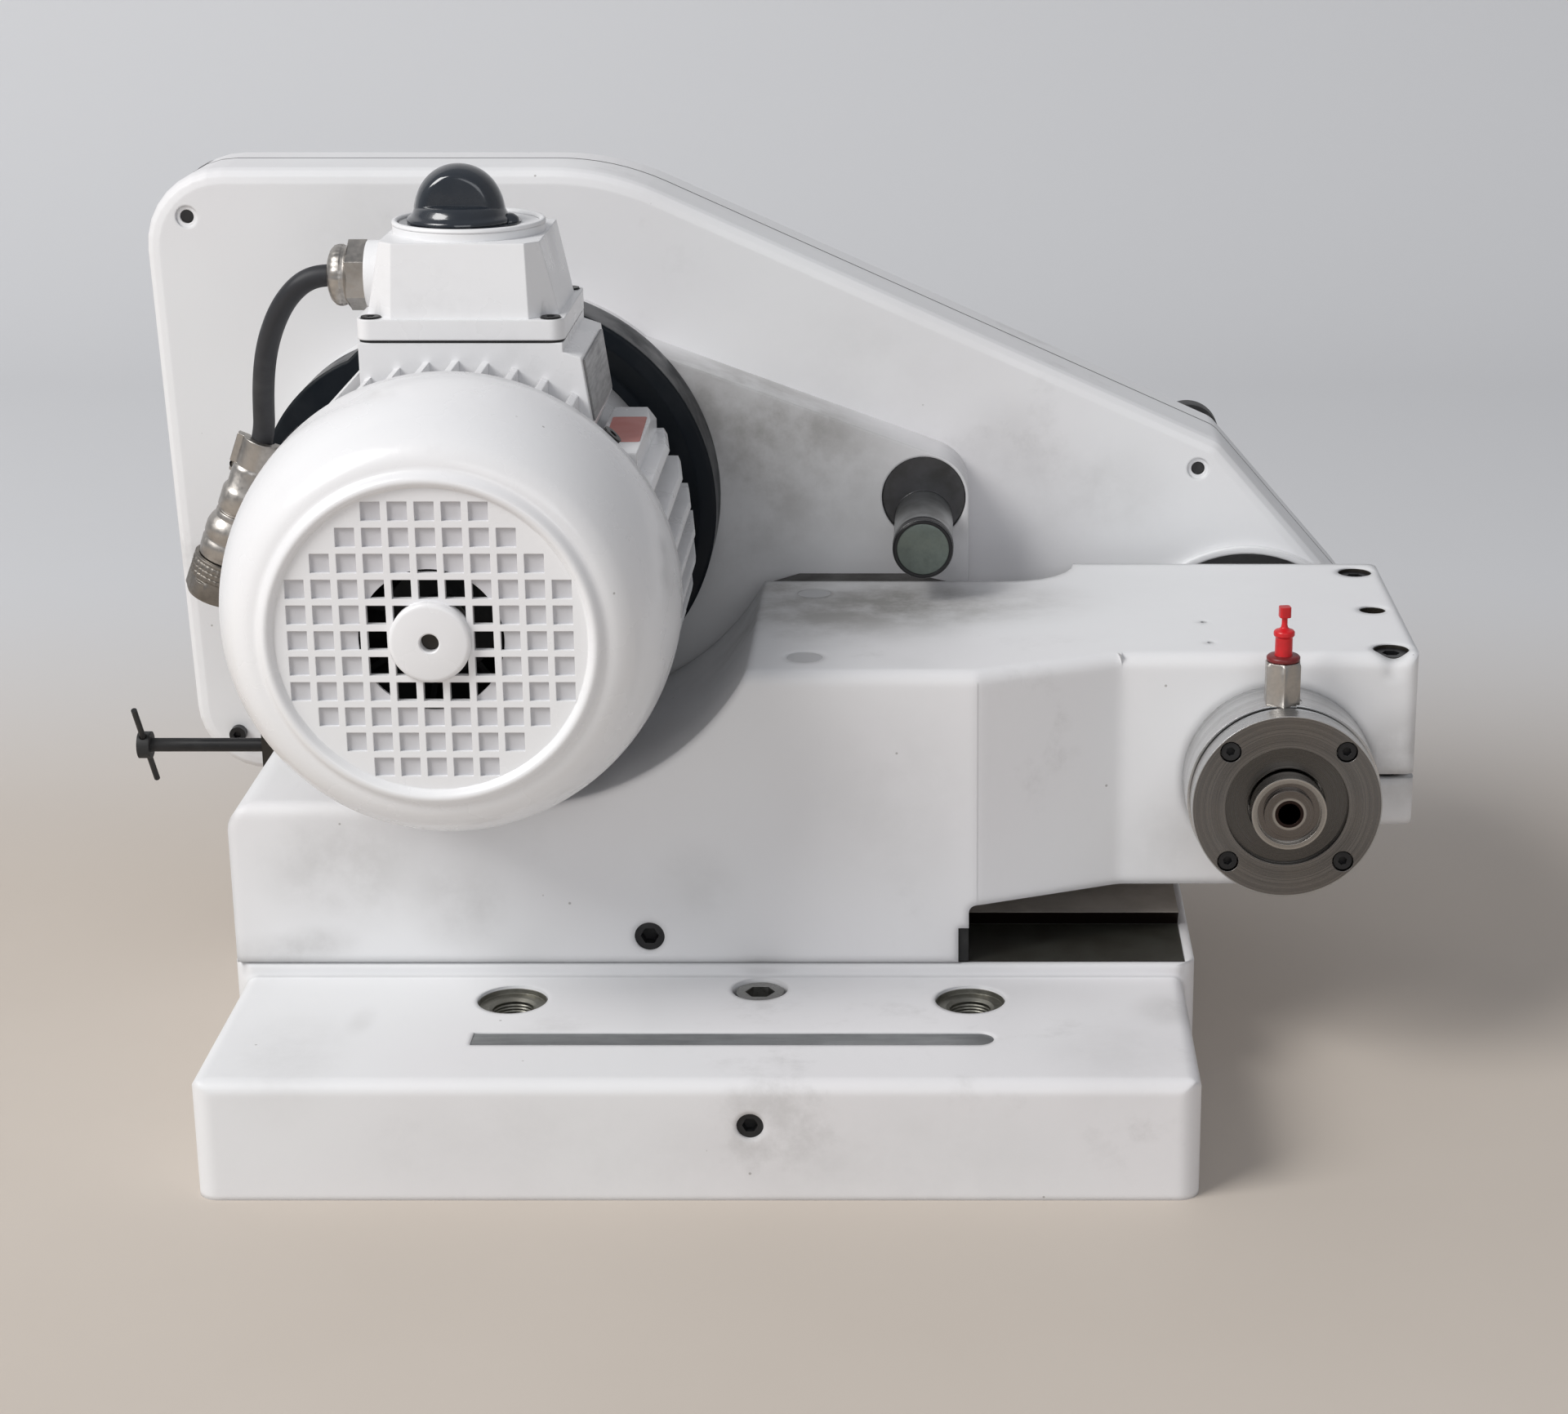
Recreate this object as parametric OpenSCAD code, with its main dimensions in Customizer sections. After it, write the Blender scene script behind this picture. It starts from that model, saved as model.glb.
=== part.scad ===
// Belt-driven grinding wheelhead of a drill bit sharpener: a base with a dovetail slideway, a carriage
// with an arm and a split spindle head, and a flange motor on a sliding bracket with a belt guard.
// Modules are drawn with Y measured from the front face of the base; placed() moves them into the frame.

/* [Base] */
// Width of the front flange
flange_w = 360; // [340:1:364]
// Depth of the front flange, front face to wall
flange_d = 97; // [80:1:110]
// Height of the front flange
flange_h = 46; // [36:1:50]
// Width of the main block behind the flange
base_w = 369; // [366:1:400]
// Depth of the whole base
base_d = 250; // [240:1:280]
// Radius of the upright corners of the base
base_corner_r = 8; // [4:1:12]
// Radius of the top edges of the base
base_edge_r = 5; // [2:0.5:8]

/* [Base fastenings] */
// Distance between the two bolt holes
bolt_spacing = 172.4; // [120:0.2:220]
// Place of the middle of the bolt holes, from the middle of the base
bolt_mid_x = 11.7; // [-10:0.1:20]
// Distance of the bolt holes from the front face
bolt_y = 75; // [60:1:80]
// Diameter of a bolt hole
bolt_hole_d = 17.5; // [13:0.5:18]
// Diameter of a bolt hole's counterbore
bolt_cbore_d = 26.5; // [24:0.5:28]
// Diameter of the middle cap screw's head
mid_head_d = 18; // [16:0.5:20]
// Diameter of the front set screw
front_set_d = 9.6; // [6:0.2:12]
// Length of the bare steel strip
strip_l = 191; // [120:1:220]
// Width of the bare steel strip
strip_w = 11; // [6:0.5:14]

/* [Slideway and carriage] */
// Height of the flat way above the flange top
way_rise = 6; // [4:0.5:10]
// Height of the dovetail ridge above the flat way
ridge_h = 6.7; // [5:0.1:9]
// Width of the dovetail ridge at its top
ridge_w = 73; // [60:1:80]
// Length of the carriage's foot along the slideway
foot_l = 280; // [260:1:300]
// Depth of the carriage block and column
column_d = 129; // [115:1:135]
// Height of the low part of the carriage above the flat way
low_h = 64; // [56:1:70]
// Radius of the sweep between the low part and the column
sweep_r = 100; // [70:1:110]
// Running clearance between sliding faces
slide_gap = 0.3; // [0.3:0.05:0.5]

/* [Arm and head] */
// Height of the arm's top above the table
arm_top_z = 168; // [160:1:180]
// Height of the arm's underside above the table
arm_bottom_z = 75.5; // [70:0.5:80]
// Left side of the column, from the middle of the base
column_x = 14.4; // [5:0.5:25]
// From the clamp screws to the end face of the head
head_end = 10; // [9:0.5:20]
// Front face of the head, from the front face of the base
head_y = 120; // [112:1:126]
// Rear face of the head, from the front face of the base
head_back_y = 253; // [245:1:256]
// Width of the clamping slit
slit_w = 2; // [1:0.5:4]

/* [Spindle] */
// Place of the spindle axis, from the middle of the base
spindle_x = 216; // [212:0.5:220]
// Height of the spindle axis
spindle_z = 119.4; // [118:0.2:121]
// Diameter of the spindle barrel
barrel_d = 73; // [70:0.5:75]
// Diameter of the front cover
cover_d = 71; // [66:0.5:76]
// Front face of the front cover, from the front face of the base
cover_y = 85; // [80:1:92]
// Diameter of the spindle nose
nose_d = 28; // [26:0.5:32]
// How far the nose stands out of the cover
nose_out = 8; // [5:0.5:14]
// Diameter of the bore in the nose
nose_bore_d = 8.3; // [6:0.1:10]
// Diameter of the spindle pulley
spindle_pulley_d = 45; // [40:1:50]

/* [Motor] */
// Place of the motor axis, from the middle of the base
motor_x = -89; // [-100:0.5:-80]
// Height of the motor axis
motor_z = 202.8; // [200:0.2:206]
// Diameter of the motor barrel without fins
stator_d = 126; // [120:1:130]
// Diameter over the cooling fins
fin_d = 163; // [158:1:163]
// Front face of the fan cover, from the front face of the base
fan_cover_y = 20; // [14:1:26]
// Diameter of the flat disc on the fan cover
fan_disc_d = 117; // [110:1:122]
// Pitch of the grille squares
grille_pitch = 9.2; // [8.6:0.1:9.6]
// Diameter of the black adapter ring
ring_d = 170; // [166:1:174]
// Thickness of the black adapter ring
ring_t = 26; // [18:1:30]
// Diameter of the motor pulley
motor_pulley_d = 110; // [90:1:120]
// Diameter of the motor shaft
motor_shaft_d = 19; // [16:1:22]

/* [Terminal box] */
// Width of the terminal box flange
box_w = 75.3; // [72:0.1:80]
// Depth of the terminal box flange
box_d = 69; // [66:1:72]
// Thickness of the terminal box flange
box_flange_t = 7.5; // [6:0.5:9]
// Height of the tapered lid above its flange
lid_h = 27; // [26:1:30]
// Diameter of the switch knob
knob_d = 38; // [32:1:42]
// Height of the switch knob
knob_h = 20; // [16:1:26]
// Diameter of the cable
cable_d = 8.3; // [6:0.1:9]

/* [Bracket and belt guard] */
// Front face of the motor bracket, from the front face of the base
bracket_y = 238.3; // [236:0.1:240]
// Thickness of the motor bracket
bracket_t = 27.7; // [24:0.1:30]
// Travel of the motor bracket for belt tension
tension_travel = 6; // [3:0.5:8]
// Diameter of the belt shifter's disc
disc_d = 34; // [30:0.2:35]
// Diameter of the handle rod
rod_d = 24; // [18:0.5:24]
// Length of the handle rod in front of the bracket
rod_l = 48; // [30:1:60]
// Depth of the guard's front half
guard_front_d = 34; // [30:1:40]
// Depth of the guard's rear cover
guard_rear_d = 24; // [20:1:34]
// Wall thickness of the guard
guard_wall = 3; // [2:0.5:4]
// Diameter of a guard knob
guard_knob_d = 28; // [20:1:32]

/* [Hidden] */
$fn = 72;

// Shared clearances
fit = 0.05;          // between pieces that are pressed or screwed together
joint_gap = 0.3;     // between faces of pieces that move past each other
eps = 0.01;          // small overlap that makes cuts pass through a face

// Heights of the slideway and carriage
way_z = flange_h + way_rise;
ridge_z = way_z + ridge_h;
ridge_cut = ridge_h * 0.7;
ridge_y0 = flange_d + 35.5;
ridge_y1 = ridge_y0 + ridge_w;
way_lip = 1.5;
way_end = 4.2;
way_back = base_d - 12;
carriage_z = way_z + slide_gap;
carriage_x = -base_w / 2 + 2;
carriage_y = flange_d - 0.3;
column_back = carriage_y + column_d;
low_z = way_z + low_h;
low_corner_r = 10;
wiper_t = 4;
wiper_z = way_z + 14.2;
foot_x = carriage_x + foot_l - wiper_t;
column_right = foot_x + wiper_t + 3;
column_right_r = 3;
edge_r = 5;

// Gib in the front flank of the dovetail
gib_w = 8.5;
gib_y = ridge_y0 - gib_w;
gib_z = way_z + 14;
flank_gap = slide_gap * 1.25;
lock_x = -24.4;
lock_z = way_z + 10.8;
lock_d = 11.4;

// Recess at the rear left of the carriage, where the tension screw works
recess_x = -120;
recess_y = carriage_y + 84;
recess_z = way_z + 43;

// Arm
arm_front = [[column_right, carriage_y], [column_right + 55, head_y]];
arm_step = [142, head_back_y];
step_r = head_back_y - column_back;
jaw_z = 100;
clamp_y = [head_y + 8.2, head_back_y - 13.4];
clamp_head_d = 14;
clamp_d = 8;
clamp_x = spindle_x + barrel_d / 2 + clamp_d / 2 + 2;
head_x = clamp_x + head_end;
jack_y = head_y + 62.7;
jack_d = 10;
pin_hole = [[190, 165.2], [190.4, 137]];
plug_at = [[35.4, 207.4], [35.4, 117.4]];
plug_d = 13.5;

// Base fastenings
bolt_x = [bolt_mid_x - bolt_spacing / 2, bolt_mid_x + bolt_spacing / 2];
bolt_cbore_h = 17;
mid_screw_x = bolt_mid_x + 6.4;
mid_screw_y = bolt_y + 10;
mid_cbore_d = mid_head_d + 3.4;
mid_cbore_h = 13;
front_set_x = bolt_mid_x + 7.4;
front_set_z = flange_h - 16.9;
strip_mid_x = bolt_mid_x - 0.8;
strip_y = 38.5;
strip_t = 2;
strip_sink = 0.4;

// Spindle, along Y
cover_t = 10;
barrel_y = cover_y + cover_t;
barrel_back = head_back_y + 5;
bearing_od = 47;
bearing_id = 25;
bearing_w = 12;
front_bearing_y = barrel_y + 3;
rear_bearing_y = barrel_back - 18;
bearing_y = [front_bearing_y, front_bearing_y + bearing_w, rear_bearing_y];
race_t = 3;
ball_d = (bearing_od - bearing_id) / 2 - 2 * race_t - 0.4;
ball_r = (bearing_od / 2 - race_t + bearing_id / 2 + race_t) / 2;
ball_count = 12;
rear_cover_t = 6;
tail_d = 20;
screw_pcd = 61;
cover_recess_d = 46;
cover_recess_h = 2;
nipple_x = spindle_x - 1.4;
nipple_y = cover_y + 17;
nipple_af = 12.6;
nipple_z = barrel_d / 2 + 1.2;
nipple_h = 14.2;
nipple_bore_d = 5.6;
plug_cap_d = 13;

// Guard and pulleys, along Y
guard_y = bracket_y + bracket_t;
guard_split = guard_y + guard_front_d;
guard_back = guard_split + guard_rear_d;
guard_nose_r = 54.5;
guard_open_r = 50.5;
guard_lip = 2.5;
guard_edge_r = 6;
pulley_w = 26;
pulley_y = guard_y + 16;
belt_w = 20;
belt_t = 3.5;
belt_y = pulley_y + (pulley_w - belt_w) / 2;
axis_dx = spindle_x - motor_x;
axis_dz = spindle_z - motor_z;
axis_dist = norm([axis_dx, axis_dz]);
axis_tilt = atan2(axis_dz, axis_dx);

// Corners of the guard outline in X and Z, counter-clockwise, and the radius at each
guard_corners = [
    [-233.5, 72], [216, 65], [270, 128], [204, 216.7], [-49.8, 331], [-241.5, 331]
];
guard_radii = [30, 12, 20, 12, 110, 33];
guard_stud = [[-222.3, 311.6], [194.6, 205.9], [-100, 84]];
guard_screw_at = [-216, 89.4];
stud_boss_d = 9;

// Motor, along Y
ring_y = bracket_y - ring_t;
ear_r = 61.5;
ear_at = [-37, 3];
ear_step = -0.8;
shield_t = 7;
fan_cover_d = fin_d + 1;
fan_cover_l = 64;
fan_cover_back = fan_cover_y + fan_cover_l;
fan_cover_bulge = fan_cover_back - 8;
housing_l = 95;
housing_y0 = fan_cover_back + 1;
housing_y1 = housing_y0 + housing_l;
shield_y = housing_y1;
fin_t = 2.5;
fin_pitch_top = 10.7;
fin_pitch_side = 11;
fin_taper_y = housing_y1 - 29;
fin_taper = 3;
lug_in = [49, 32];
lug_out = [65.3, 48.7];
fan_cover_t = 2;
hub_d = 28.6;
tab_r = fan_cover_d / 2 - 6;
tab_t = 1.8;
tab_screw_y = fan_cover_back + 4;
hub_hole_d = 6.5;
open_zone_d = 50.6;
grille_rib = 2.4;
grille_depth = 1.3;
grille_y = fan_cover_y + 1.5;
grille_r = fan_disc_d / 2 - 8;
grille_back = fan_cover_y + 4.2;
motor_bearing_od = 47;
rotor_d = 75;
core_gap = 0.5;
fan_y = fan_cover_back - 36;
fan_w = 24;
fan_d = fan_cover_d - 32;

// Terminal box on top of the motor
box_x = motor_x + 2.1;
box_y = housing_y0 + 18;
gasket_z = motor_z + fin_d / 2 + 6.6;
gasket_t = 1;
box_z = gasket_z + gasket_t;
lid_z = box_z + box_flange_t;
deck_z = lid_z + lid_h;
lid_bottom = [70, 66, 10];
lid_top = [58, 61, 5];
seat_d = 56;
seat_h = 3;
gland_z = deck_z - 16.8;
gland_y = box_y + box_d / 2 + 0.5;
gland_x = box_x - box_w / 2 - 0.3;
gland_d = 23;
plate_top = [box_x + 43.5, gasket_z - 5.5];
plate_bottom = [box_x + 47, gasket_z - 30.9];
plate_pad = [
    [box_x + 26.9, gasket_z - 2.9], [box_x + 35.9, gasket_z - 2.9], plate_top, plate_bottom,
    [box_x + 42.9, gasket_z - 40.9], [box_x + 26.9, gasket_z - 40.9]
];
plate_t = 0.8;

// Cable route from the gland's mouth to the connector, chosen by hand, counted from the gland's seat
cable_points = [
    [-14.9, 0, 0], [-18.35, 0.1, -0.2], [-22.35, 0.3, -1.2], [-27.35, 1, -4.4], [-32.75, 2.5, -10.4],
    [-37.25, 5, -18.1], [-40.95, 8, -26.7], [-43.45, 11, -35.5], [-45.15, 14, -44.4], [-46.15, 16.5, -52.8],
    [-46.75, 18.8, -58.2], [-47.45, 20.4, -63.2], [-49.27, 21.55, -69.62], [-51.19, 22, -74.75]
];
cable_route = [for (p = cable_points) [gland_x, gland_y, gland_z] + p];

// Connector, along its own axis from the cable's end
connector_tilt = 20.5;
connector_lean = 5;
connector_d = 19;
connector_l = 42.5;
coupling_d = 25.5;
coupling_l = 17;
connector_wide = 23;
clamp_rise = 9;

// Tension screw, along X
screw_y = 190;
screw_z = low_z - 7;
screw_d = 5.6;
lug_x = -150;
lug_w = 12;
block_x = carriage_x - 4.5;
block_l = 26;
screw_hub_x = -235.7;
screw_hub_d = 11;
tommy_l = 46;
tommy_d = 2.4;
tommy_tilt = 35;

// Belt shifter in the bracket
shifter_x = 79.6;
shifter_z = 200.2;
rod_drop = 9.3;
roller_rise = 10;
roller_d = 17;
pin_d = 7;

// Clamping screws of the bracket
bracket_screw_x = [30, 60];
bracket_screw_z = 110;

function unit(v) = v / norm(v);
function left_of(a, b) = let (u = unit(b - a)) [-u[1], u[0]];
function cross2(a, b) = a[0] * b[1] - a[1] * b[0];
function meet(p, u, q, v) = p + u * (cross2(q - p, v) / cross2(u, v));
function turn(a) = a > 180 ? a - 360 : a < -180 ? a + 360 : a;

// Corners moved inward by d
function inset(pts, d) = [
    for (i = [0 : len(pts) - 1])
        let (a = pts[(i + len(pts) - 1) % len(pts)], b = pts[i], c = pts[(i + 1) % len(pts)])
        meet(b + left_of(a, b) * d, unit(b - a), b + left_of(b, c) * d, unit(c - b))
];

// Points of the arc that rounds corner b
function corner_arc(a, b, c, r, n) =
    let (u = unit(a - b), w = unit(c - b), half = acos(u * w) / 2,
         centre = b + unit(u + w) * r / sin(half),
         p = b + u * r / tan(half) - centre, q = b + w * r / tan(half) - centre,
         start = atan2(p[1], p[0]), sweep = turn(atan2(q[1], q[0]) - start))
    [for (k = [0 : n]) centre + r * [cos(start + sweep * k / n), sin(start + sweep * k / n)]];

function rounded(pts, radii, n = 8) = [
    for (i = [0 : len(pts) - 1])
        each corner_arc(pts[(i + len(pts) - 1) % len(pts)], pts[i], pts[(i + 1) % len(pts)],
                        radii[i], n)
];

// Moves a module drawn from the front face of the base into the part's frame
module placed() translate([0, -base_d / 2, 0]) children();

// A solid of a shape drawn in X and Z, from y0 to y1
module along_y(y0, y1) translate([0, y1, 0]) rotate([90, 0, 0]) linear_extrude(y1 - y0) children();

// A solid of a shape drawn in Y and Z, from x0 to x1
module along_x(x0, x1) translate([x0, 0, 0]) rotate([90, 0, 90]) linear_extrude(x1 - x0) children();

// A cylinder along Y from y0 to y1
module rod_y(d, y0, y1) translate([0, y0, 0]) rotate([-90, 0, 0]) cylinder(d = d, h = y1 - y0);

// A cylinder along X from x0 to x1
module rod_x(d, x0, x1) translate([x0, 0, 0]) rotate([0, 90, 0]) cylinder(d = d, h = x1 - x0);

module ring_y_shape(od, id, y0, y1) difference() {
    rod_y(od, y0, y1);
    rod_y(id, y0 - 1, y1 + 1);
}

module round_rect(w, h, r) {
    square([w - 2 * r, h], center = true);
    square([w, h - 2 * r], center = true);
    for (x = [-1, 1], y = [-1, 1]) translate([x * (w / 2 - r), y * (h / 2 - r)]) circle(r);
}

// What a fillet of radius r along X takes off a front top edge at y, z
module front_fillet(l, r) rotate([90, 0, 90]) linear_extrude(l) difference() {
    translate([-1, -r]) square([r + 1, r + 1]);
    translate([r, -r]) circle(r);
}

// A socket head cap screw standing on its tip: head, shank and hexagon socket
module cap_screw(head_d, head_h, shank_d, shank_l, key) {
    difference() {
        union() {
            translate([0, 0, shank_l]) cylinder(d = head_d, h = head_h);
            cylinder(d = shank_d, h = shank_l + eps);
        }
        translate([0, 0, shank_l + head_h * 0.45]) cylinder(d = key / cos(30), h = head_h, $fn = 6);
    }
}

// A socket set screw standing on its tip
module set_screw(d, l, key) difference() {
    cylinder(d = d, h = l);
    translate([0, 0, l - key * 0.8]) cylinder(d = key / cos(30), h = key, $fn = 6);
}

module at_spindle() translate([spindle_x, 0, spindle_z]) children();
module at_motor() translate([motor_x, 0, motor_z]) children();

// ---- Base ----

module base_block(w, y0, y1, h, r) intersection() {
    linear_extrude(h) translate([0, (y0 + y1) / 2]) round_rect(w, y1 - y0, base_corner_r);
    along_y(y0 - 1, y1 + 1) translate([0, h / 2 - 10]) round_rect(w, h + 20, r);
    along_x(-w / 2 - 1, w / 2 + 1) translate([(y0 + y1) / 2, h / 2 - 10]) round_rect(y1 - y0, h + 20, r);
}

module strip_shape(grow) {
    translate([strip_mid_x - strip_l / 2 - grow, strip_y - strip_w / 2 - grow])
        square([strip_l - strip_w / 2 + grow, strip_w + 2 * grow]);
    translate([strip_mid_x + strip_l / 2 - strip_w / 2, strip_y]) circle(d = strip_w + 2 * grow);
}

module base_casting() color("whitesmoke") placed() difference() {
    union() {
        base_block(flange_w, 0, flange_d + 30, flange_h, base_edge_r);
        base_block(base_w, flange_d, base_d, way_z - 0.3, 1.5);
    }
    translate([-base_w / 2 + way_end, flange_d + way_lip, flange_h])
        cube([base_w - 2 * way_end, way_back - flange_d - way_lip, way_rise + 1]);
    for (x = bolt_x) translate([x, bolt_y, 0]) {
        translate([0, 0, -1]) cylinder(d = bolt_hole_d, h = flange_h + 2);
        translate([0, 0, flange_h - bolt_cbore_h]) cylinder(d = bolt_cbore_d, h = bolt_cbore_h + 1);
    }
    translate([mid_screw_x, mid_screw_y, flange_h - mid_cbore_h]) {
        cylinder(d = mid_cbore_d, h = mid_cbore_h + 1);
        translate([0, 0, -25]) cylinder(d = 12 + 2 * fit, h = 26);
    }
    translate([front_set_x, 0, front_set_z]) rod_y(front_set_d + 2 * fit, -1, 22);
    translate([0, 0, flange_h - strip_t - strip_sink]) linear_extrude(strip_t + 1) strip_shape(fit);
}

module slideway() color([0.2, 0.18, 0.16]) placed() {
    translate([-base_w / 2 + way_end + fit, flange_d + way_lip + fit, flange_h])
        cube([base_w - 2 * way_end - 2 * fit, way_back - flange_d - way_lip - 2 * fit, way_rise]);
    along_x(-base_w / 2 + way_end + fit, base_w / 2 - way_end - fit) polygon([
        [ridge_y0 + ridge_cut, way_z - eps], [ridge_y1 - ridge_cut, way_z - eps],
        [ridge_y1, ridge_z], [ridge_y0, ridge_z]
    ]);
}

module steel_strip() color([0.5, 0.5, 0.49]) placed()
    translate([0, 0, flange_h - strip_t - strip_sink + fit]) linear_extrude(strip_t - fit) strip_shape(0);

module base_cap_screw() color([0.35, 0.35, 0.35]) placed()
    translate([mid_screw_x, mid_screw_y, flange_h - mid_cbore_h - 24]) cap_screw(mid_head_d, 12, 12, 24, 10);

module base_set_screw() color([0.15, 0.15, 0.15]) placed()
    translate([front_set_x, 21, front_set_z]) rotate([90, 0, 0]) set_screw(front_set_d, 20, 5);

// ---- Carriage ----

sweep_z = low_z + sweep_r;
sweep_x = column_x - sqrt(pow(sweep_r, 2) - pow(sweep_z - arm_top_z, 2));
sweep_start = atan2(arm_top_z - sweep_z, column_x - sweep_x);

module block_outline() polygon(concat(
    [[carriage_x, carriage_z], [foot_x, carriage_z], [foot_x, wiper_z], [foot_x + wiper_t, wiper_z]],
    [for (a = [180 : -15 : 90])
        [column_right, arm_bottom_z - column_right_r] + column_right_r * [cos(a), sin(a)]],
    [[column_right, arm_top_z]],
    [for (k = [0 : 16])
        let (a = sweep_start + (-90 - sweep_start) * k / 16)
        [sweep_x + sweep_r * cos(a), sweep_z + sweep_r * sin(a)]],
    [for (a = [90 : 15 : 180])
        [carriage_x + low_corner_r * (1 + cos(a)), low_z - low_corner_r * (1 - sin(a))]]
));

module arm_outline() let (
    a = [column_right - 10, carriage_y], b = arm_front[0], c = arm_front[1],
    d = [head_x, head_y], e = [head_x, head_back_y], f = arm_step
) polygon(concat(
    [a], corner_arc(a, b, c, 12, 4), corner_arc(b, c, d, 12, 4),
    corner_arc(c, d, e, 4, 6), corner_arc(d, e, f, 4, 6), [f],
    [for (t = [0 : -15 : -90]) [f[0] - step_r * (1 - cos(t)), f[1] + step_r * sin(t)]],
    [[column_right - 10, column_back]]
));

// Dovetail groove and gib slot, in Y and Z
module dovetail_slot() polygon([
    [gib_y - fit, way_z - 5], [gib_y - fit, gib_z + fit], [ridge_y0 - flank_gap + fit, gib_z + fit],
    [ridge_y0 - flank_gap + fit, ridge_z + slide_gap], [ridge_y1 + flank_gap, ridge_z + slide_gap],
    [ridge_y1 - ridge_cut + flank_gap, way_z], [ridge_y1 - ridge_cut + flank_gap, way_z - 5]
]);

module arm_fillets() {
    translate([column_x - 20, carriage_y, arm_top_z]) front_fillet(column_right - column_x + 20, edge_r);
    translate(concat(arm_front[0], arm_top_z))
        rotate([0, 0, atan2(head_y - carriage_y, arm_front[1][0] - arm_front[0][0])])
        front_fillet(norm(arm_front[1] - arm_front[0]), edge_r);
    translate([arm_front[1][0], head_y, arm_top_z]) front_fillet(head_x - arm_front[1][0] + 1, edge_r);
    translate([carriage_x - 1, carriage_y, low_z]) front_fillet(sweep_x - carriage_x + 1, edge_r);
}

module carriage_casting() color("whitesmoke") placed() difference() {
    union() {
        along_y(carriage_y, column_back) block_outline();
        translate([0, 0, arm_bottom_z]) linear_extrude(arm_top_z - arm_bottom_z) arm_outline();
    }
    arm_fillets();
    along_x(carriage_x - 1, foot_x + wiper_t + 10) dovetail_slot();
    translate([carriage_x - 1, recess_y, recess_z])
        cube([recess_x - carriage_x + 1, column_back - recess_y + 1, low_z - recess_z + 1]);
    // Split head with its bore, slit and jaw
    difference() {
        translate([spindle_x, carriage_y, arm_bottom_z - 1])
            cube([head_x - spindle_x + 1, head_back_y - carriage_y + 1, jaw_z - arm_bottom_z + 1]);
        at_spindle() rod_y(2 * (spindle_z - arm_bottom_z), carriage_y - 1, head_back_y + 1);
    }
    at_spindle() rod_y(barrel_d + 2 * fit, carriage_y, head_back_y + 1);
    translate([spindle_x + 20, carriage_y, spindle_z - slit_w / 2])
        cube([head_x - spindle_x, head_back_y - carriage_y + 1, slit_w]);
    for (y = clamp_y) translate([clamp_x, y, 0]) {
        translate([0, 0, jaw_z - 1]) cylinder(d = clamp_d + 2 * fit, h = spindle_z - jaw_z + 1);
        translate([0, 0, spindle_z]) cylinder(d = clamp_d + 1, h = arm_top_z - spindle_z);
        translate([0, 0, arm_top_z - 9.5]) cylinder(d = clamp_head_d, h = 10);
    }
    translate([clamp_x, jack_y, spindle_z]) cylinder(d = jack_d + 0.7, h = arm_top_z - spindle_z + 1);
    for (p = pin_hole) translate([p[0], p[1], arm_top_z - 4]) cylinder(d = 2.6, h = 5);
    for (p = plug_at) translate([p[0], p[1], arm_top_z - 3]) cylinder(d = plug_d, h = 4);
    translate([lock_x, 0, lock_z]) rod_y(lock_d + 2 * fit, carriage_y - 1, gib_y);
    for (x = bracket_screw_x) translate([x, 0, bracket_screw_z]) rod_y(8 + 2 * fit, column_back - 26, column_back + 1);
}

module gib() color([0.22, 0.2, 0.18]) placed() along_x(carriage_x + 2, foot_x) polygon([
    [gib_y, carriage_z], [ridge_y0 + ridge_cut * (1 - slide_gap / ridge_h) - flank_gap, carriage_z],
    [ridge_y0 - flank_gap, ridge_z], [ridge_y0 - flank_gap, gib_z], [gib_y, gib_z]
]);

module way_wiper() color([0.12, 0.12, 0.12]) placed() translate([foot_x + fit, carriage_y + 1, carriage_z])
    cube([wiper_t - 2 * fit, ridge_y0 - carriage_y - 2, wiper_z - carriage_z - fit]);

module carriage_lock_screw() color([0.15, 0.15, 0.15]) placed() translate([lock_x, gib_y - fit, lock_z])
    rotate([90, 0, 0]) set_screw(lock_d, gib_y - fit - carriage_y - 0.8, 6);

module clamp_screws() color([0.2, 0.2, 0.2]) placed() for (y = clamp_y)
    translate([clamp_x, y, jaw_z + 1]) cap_screw(13, 8, clamp_d, arm_top_z - 9.5 - jaw_z - 1, 6);

module jack_screw() color([0.12, 0.12, 0.12]) placed() translate([clamp_x, jack_y, spindle_z - slit_w / 2])
    set_screw(jack_d, 44, 5);

module column_plugs() color([0.82, 0.82, 0.83]) placed() for (p = plug_at)
    translate([p[0], p[1], arm_top_z - 3]) cylinder(d = plug_d - 2 * fit, h = 2.8);

// Machined pad between the column and the motor bracket
module bracket_pad() color([0.22, 0.2, 0.17]) placed() difference() {
    translate([0, 0, recess_z]) linear_extrude(arm_top_z - recess_z) polygon([
        [column_x + 3.2, column_back], [column_x + 74.6, column_back],
        [column_x + 60, bracket_y - joint_gap], [column_x + 13.6, bracket_y - joint_gap]
    ]);
    for (x = bracket_screw_x) translate([x, 0, bracket_screw_z]) rod_y(9, column_back - 1, bracket_y);
}

module screw_block() color([0.36, 0.39, 0.36]) placed() difference() {
    translate([block_x, recess_y + fit, recess_z]) cube([block_l, column_back - recess_y - 20, screw_z - recess_z + 9]);
    translate([0, screw_y, screw_z]) rod_x(screw_d + 0.6, block_x - 1, block_x + block_l + 1);
}

// ---- Spindle ----

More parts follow.
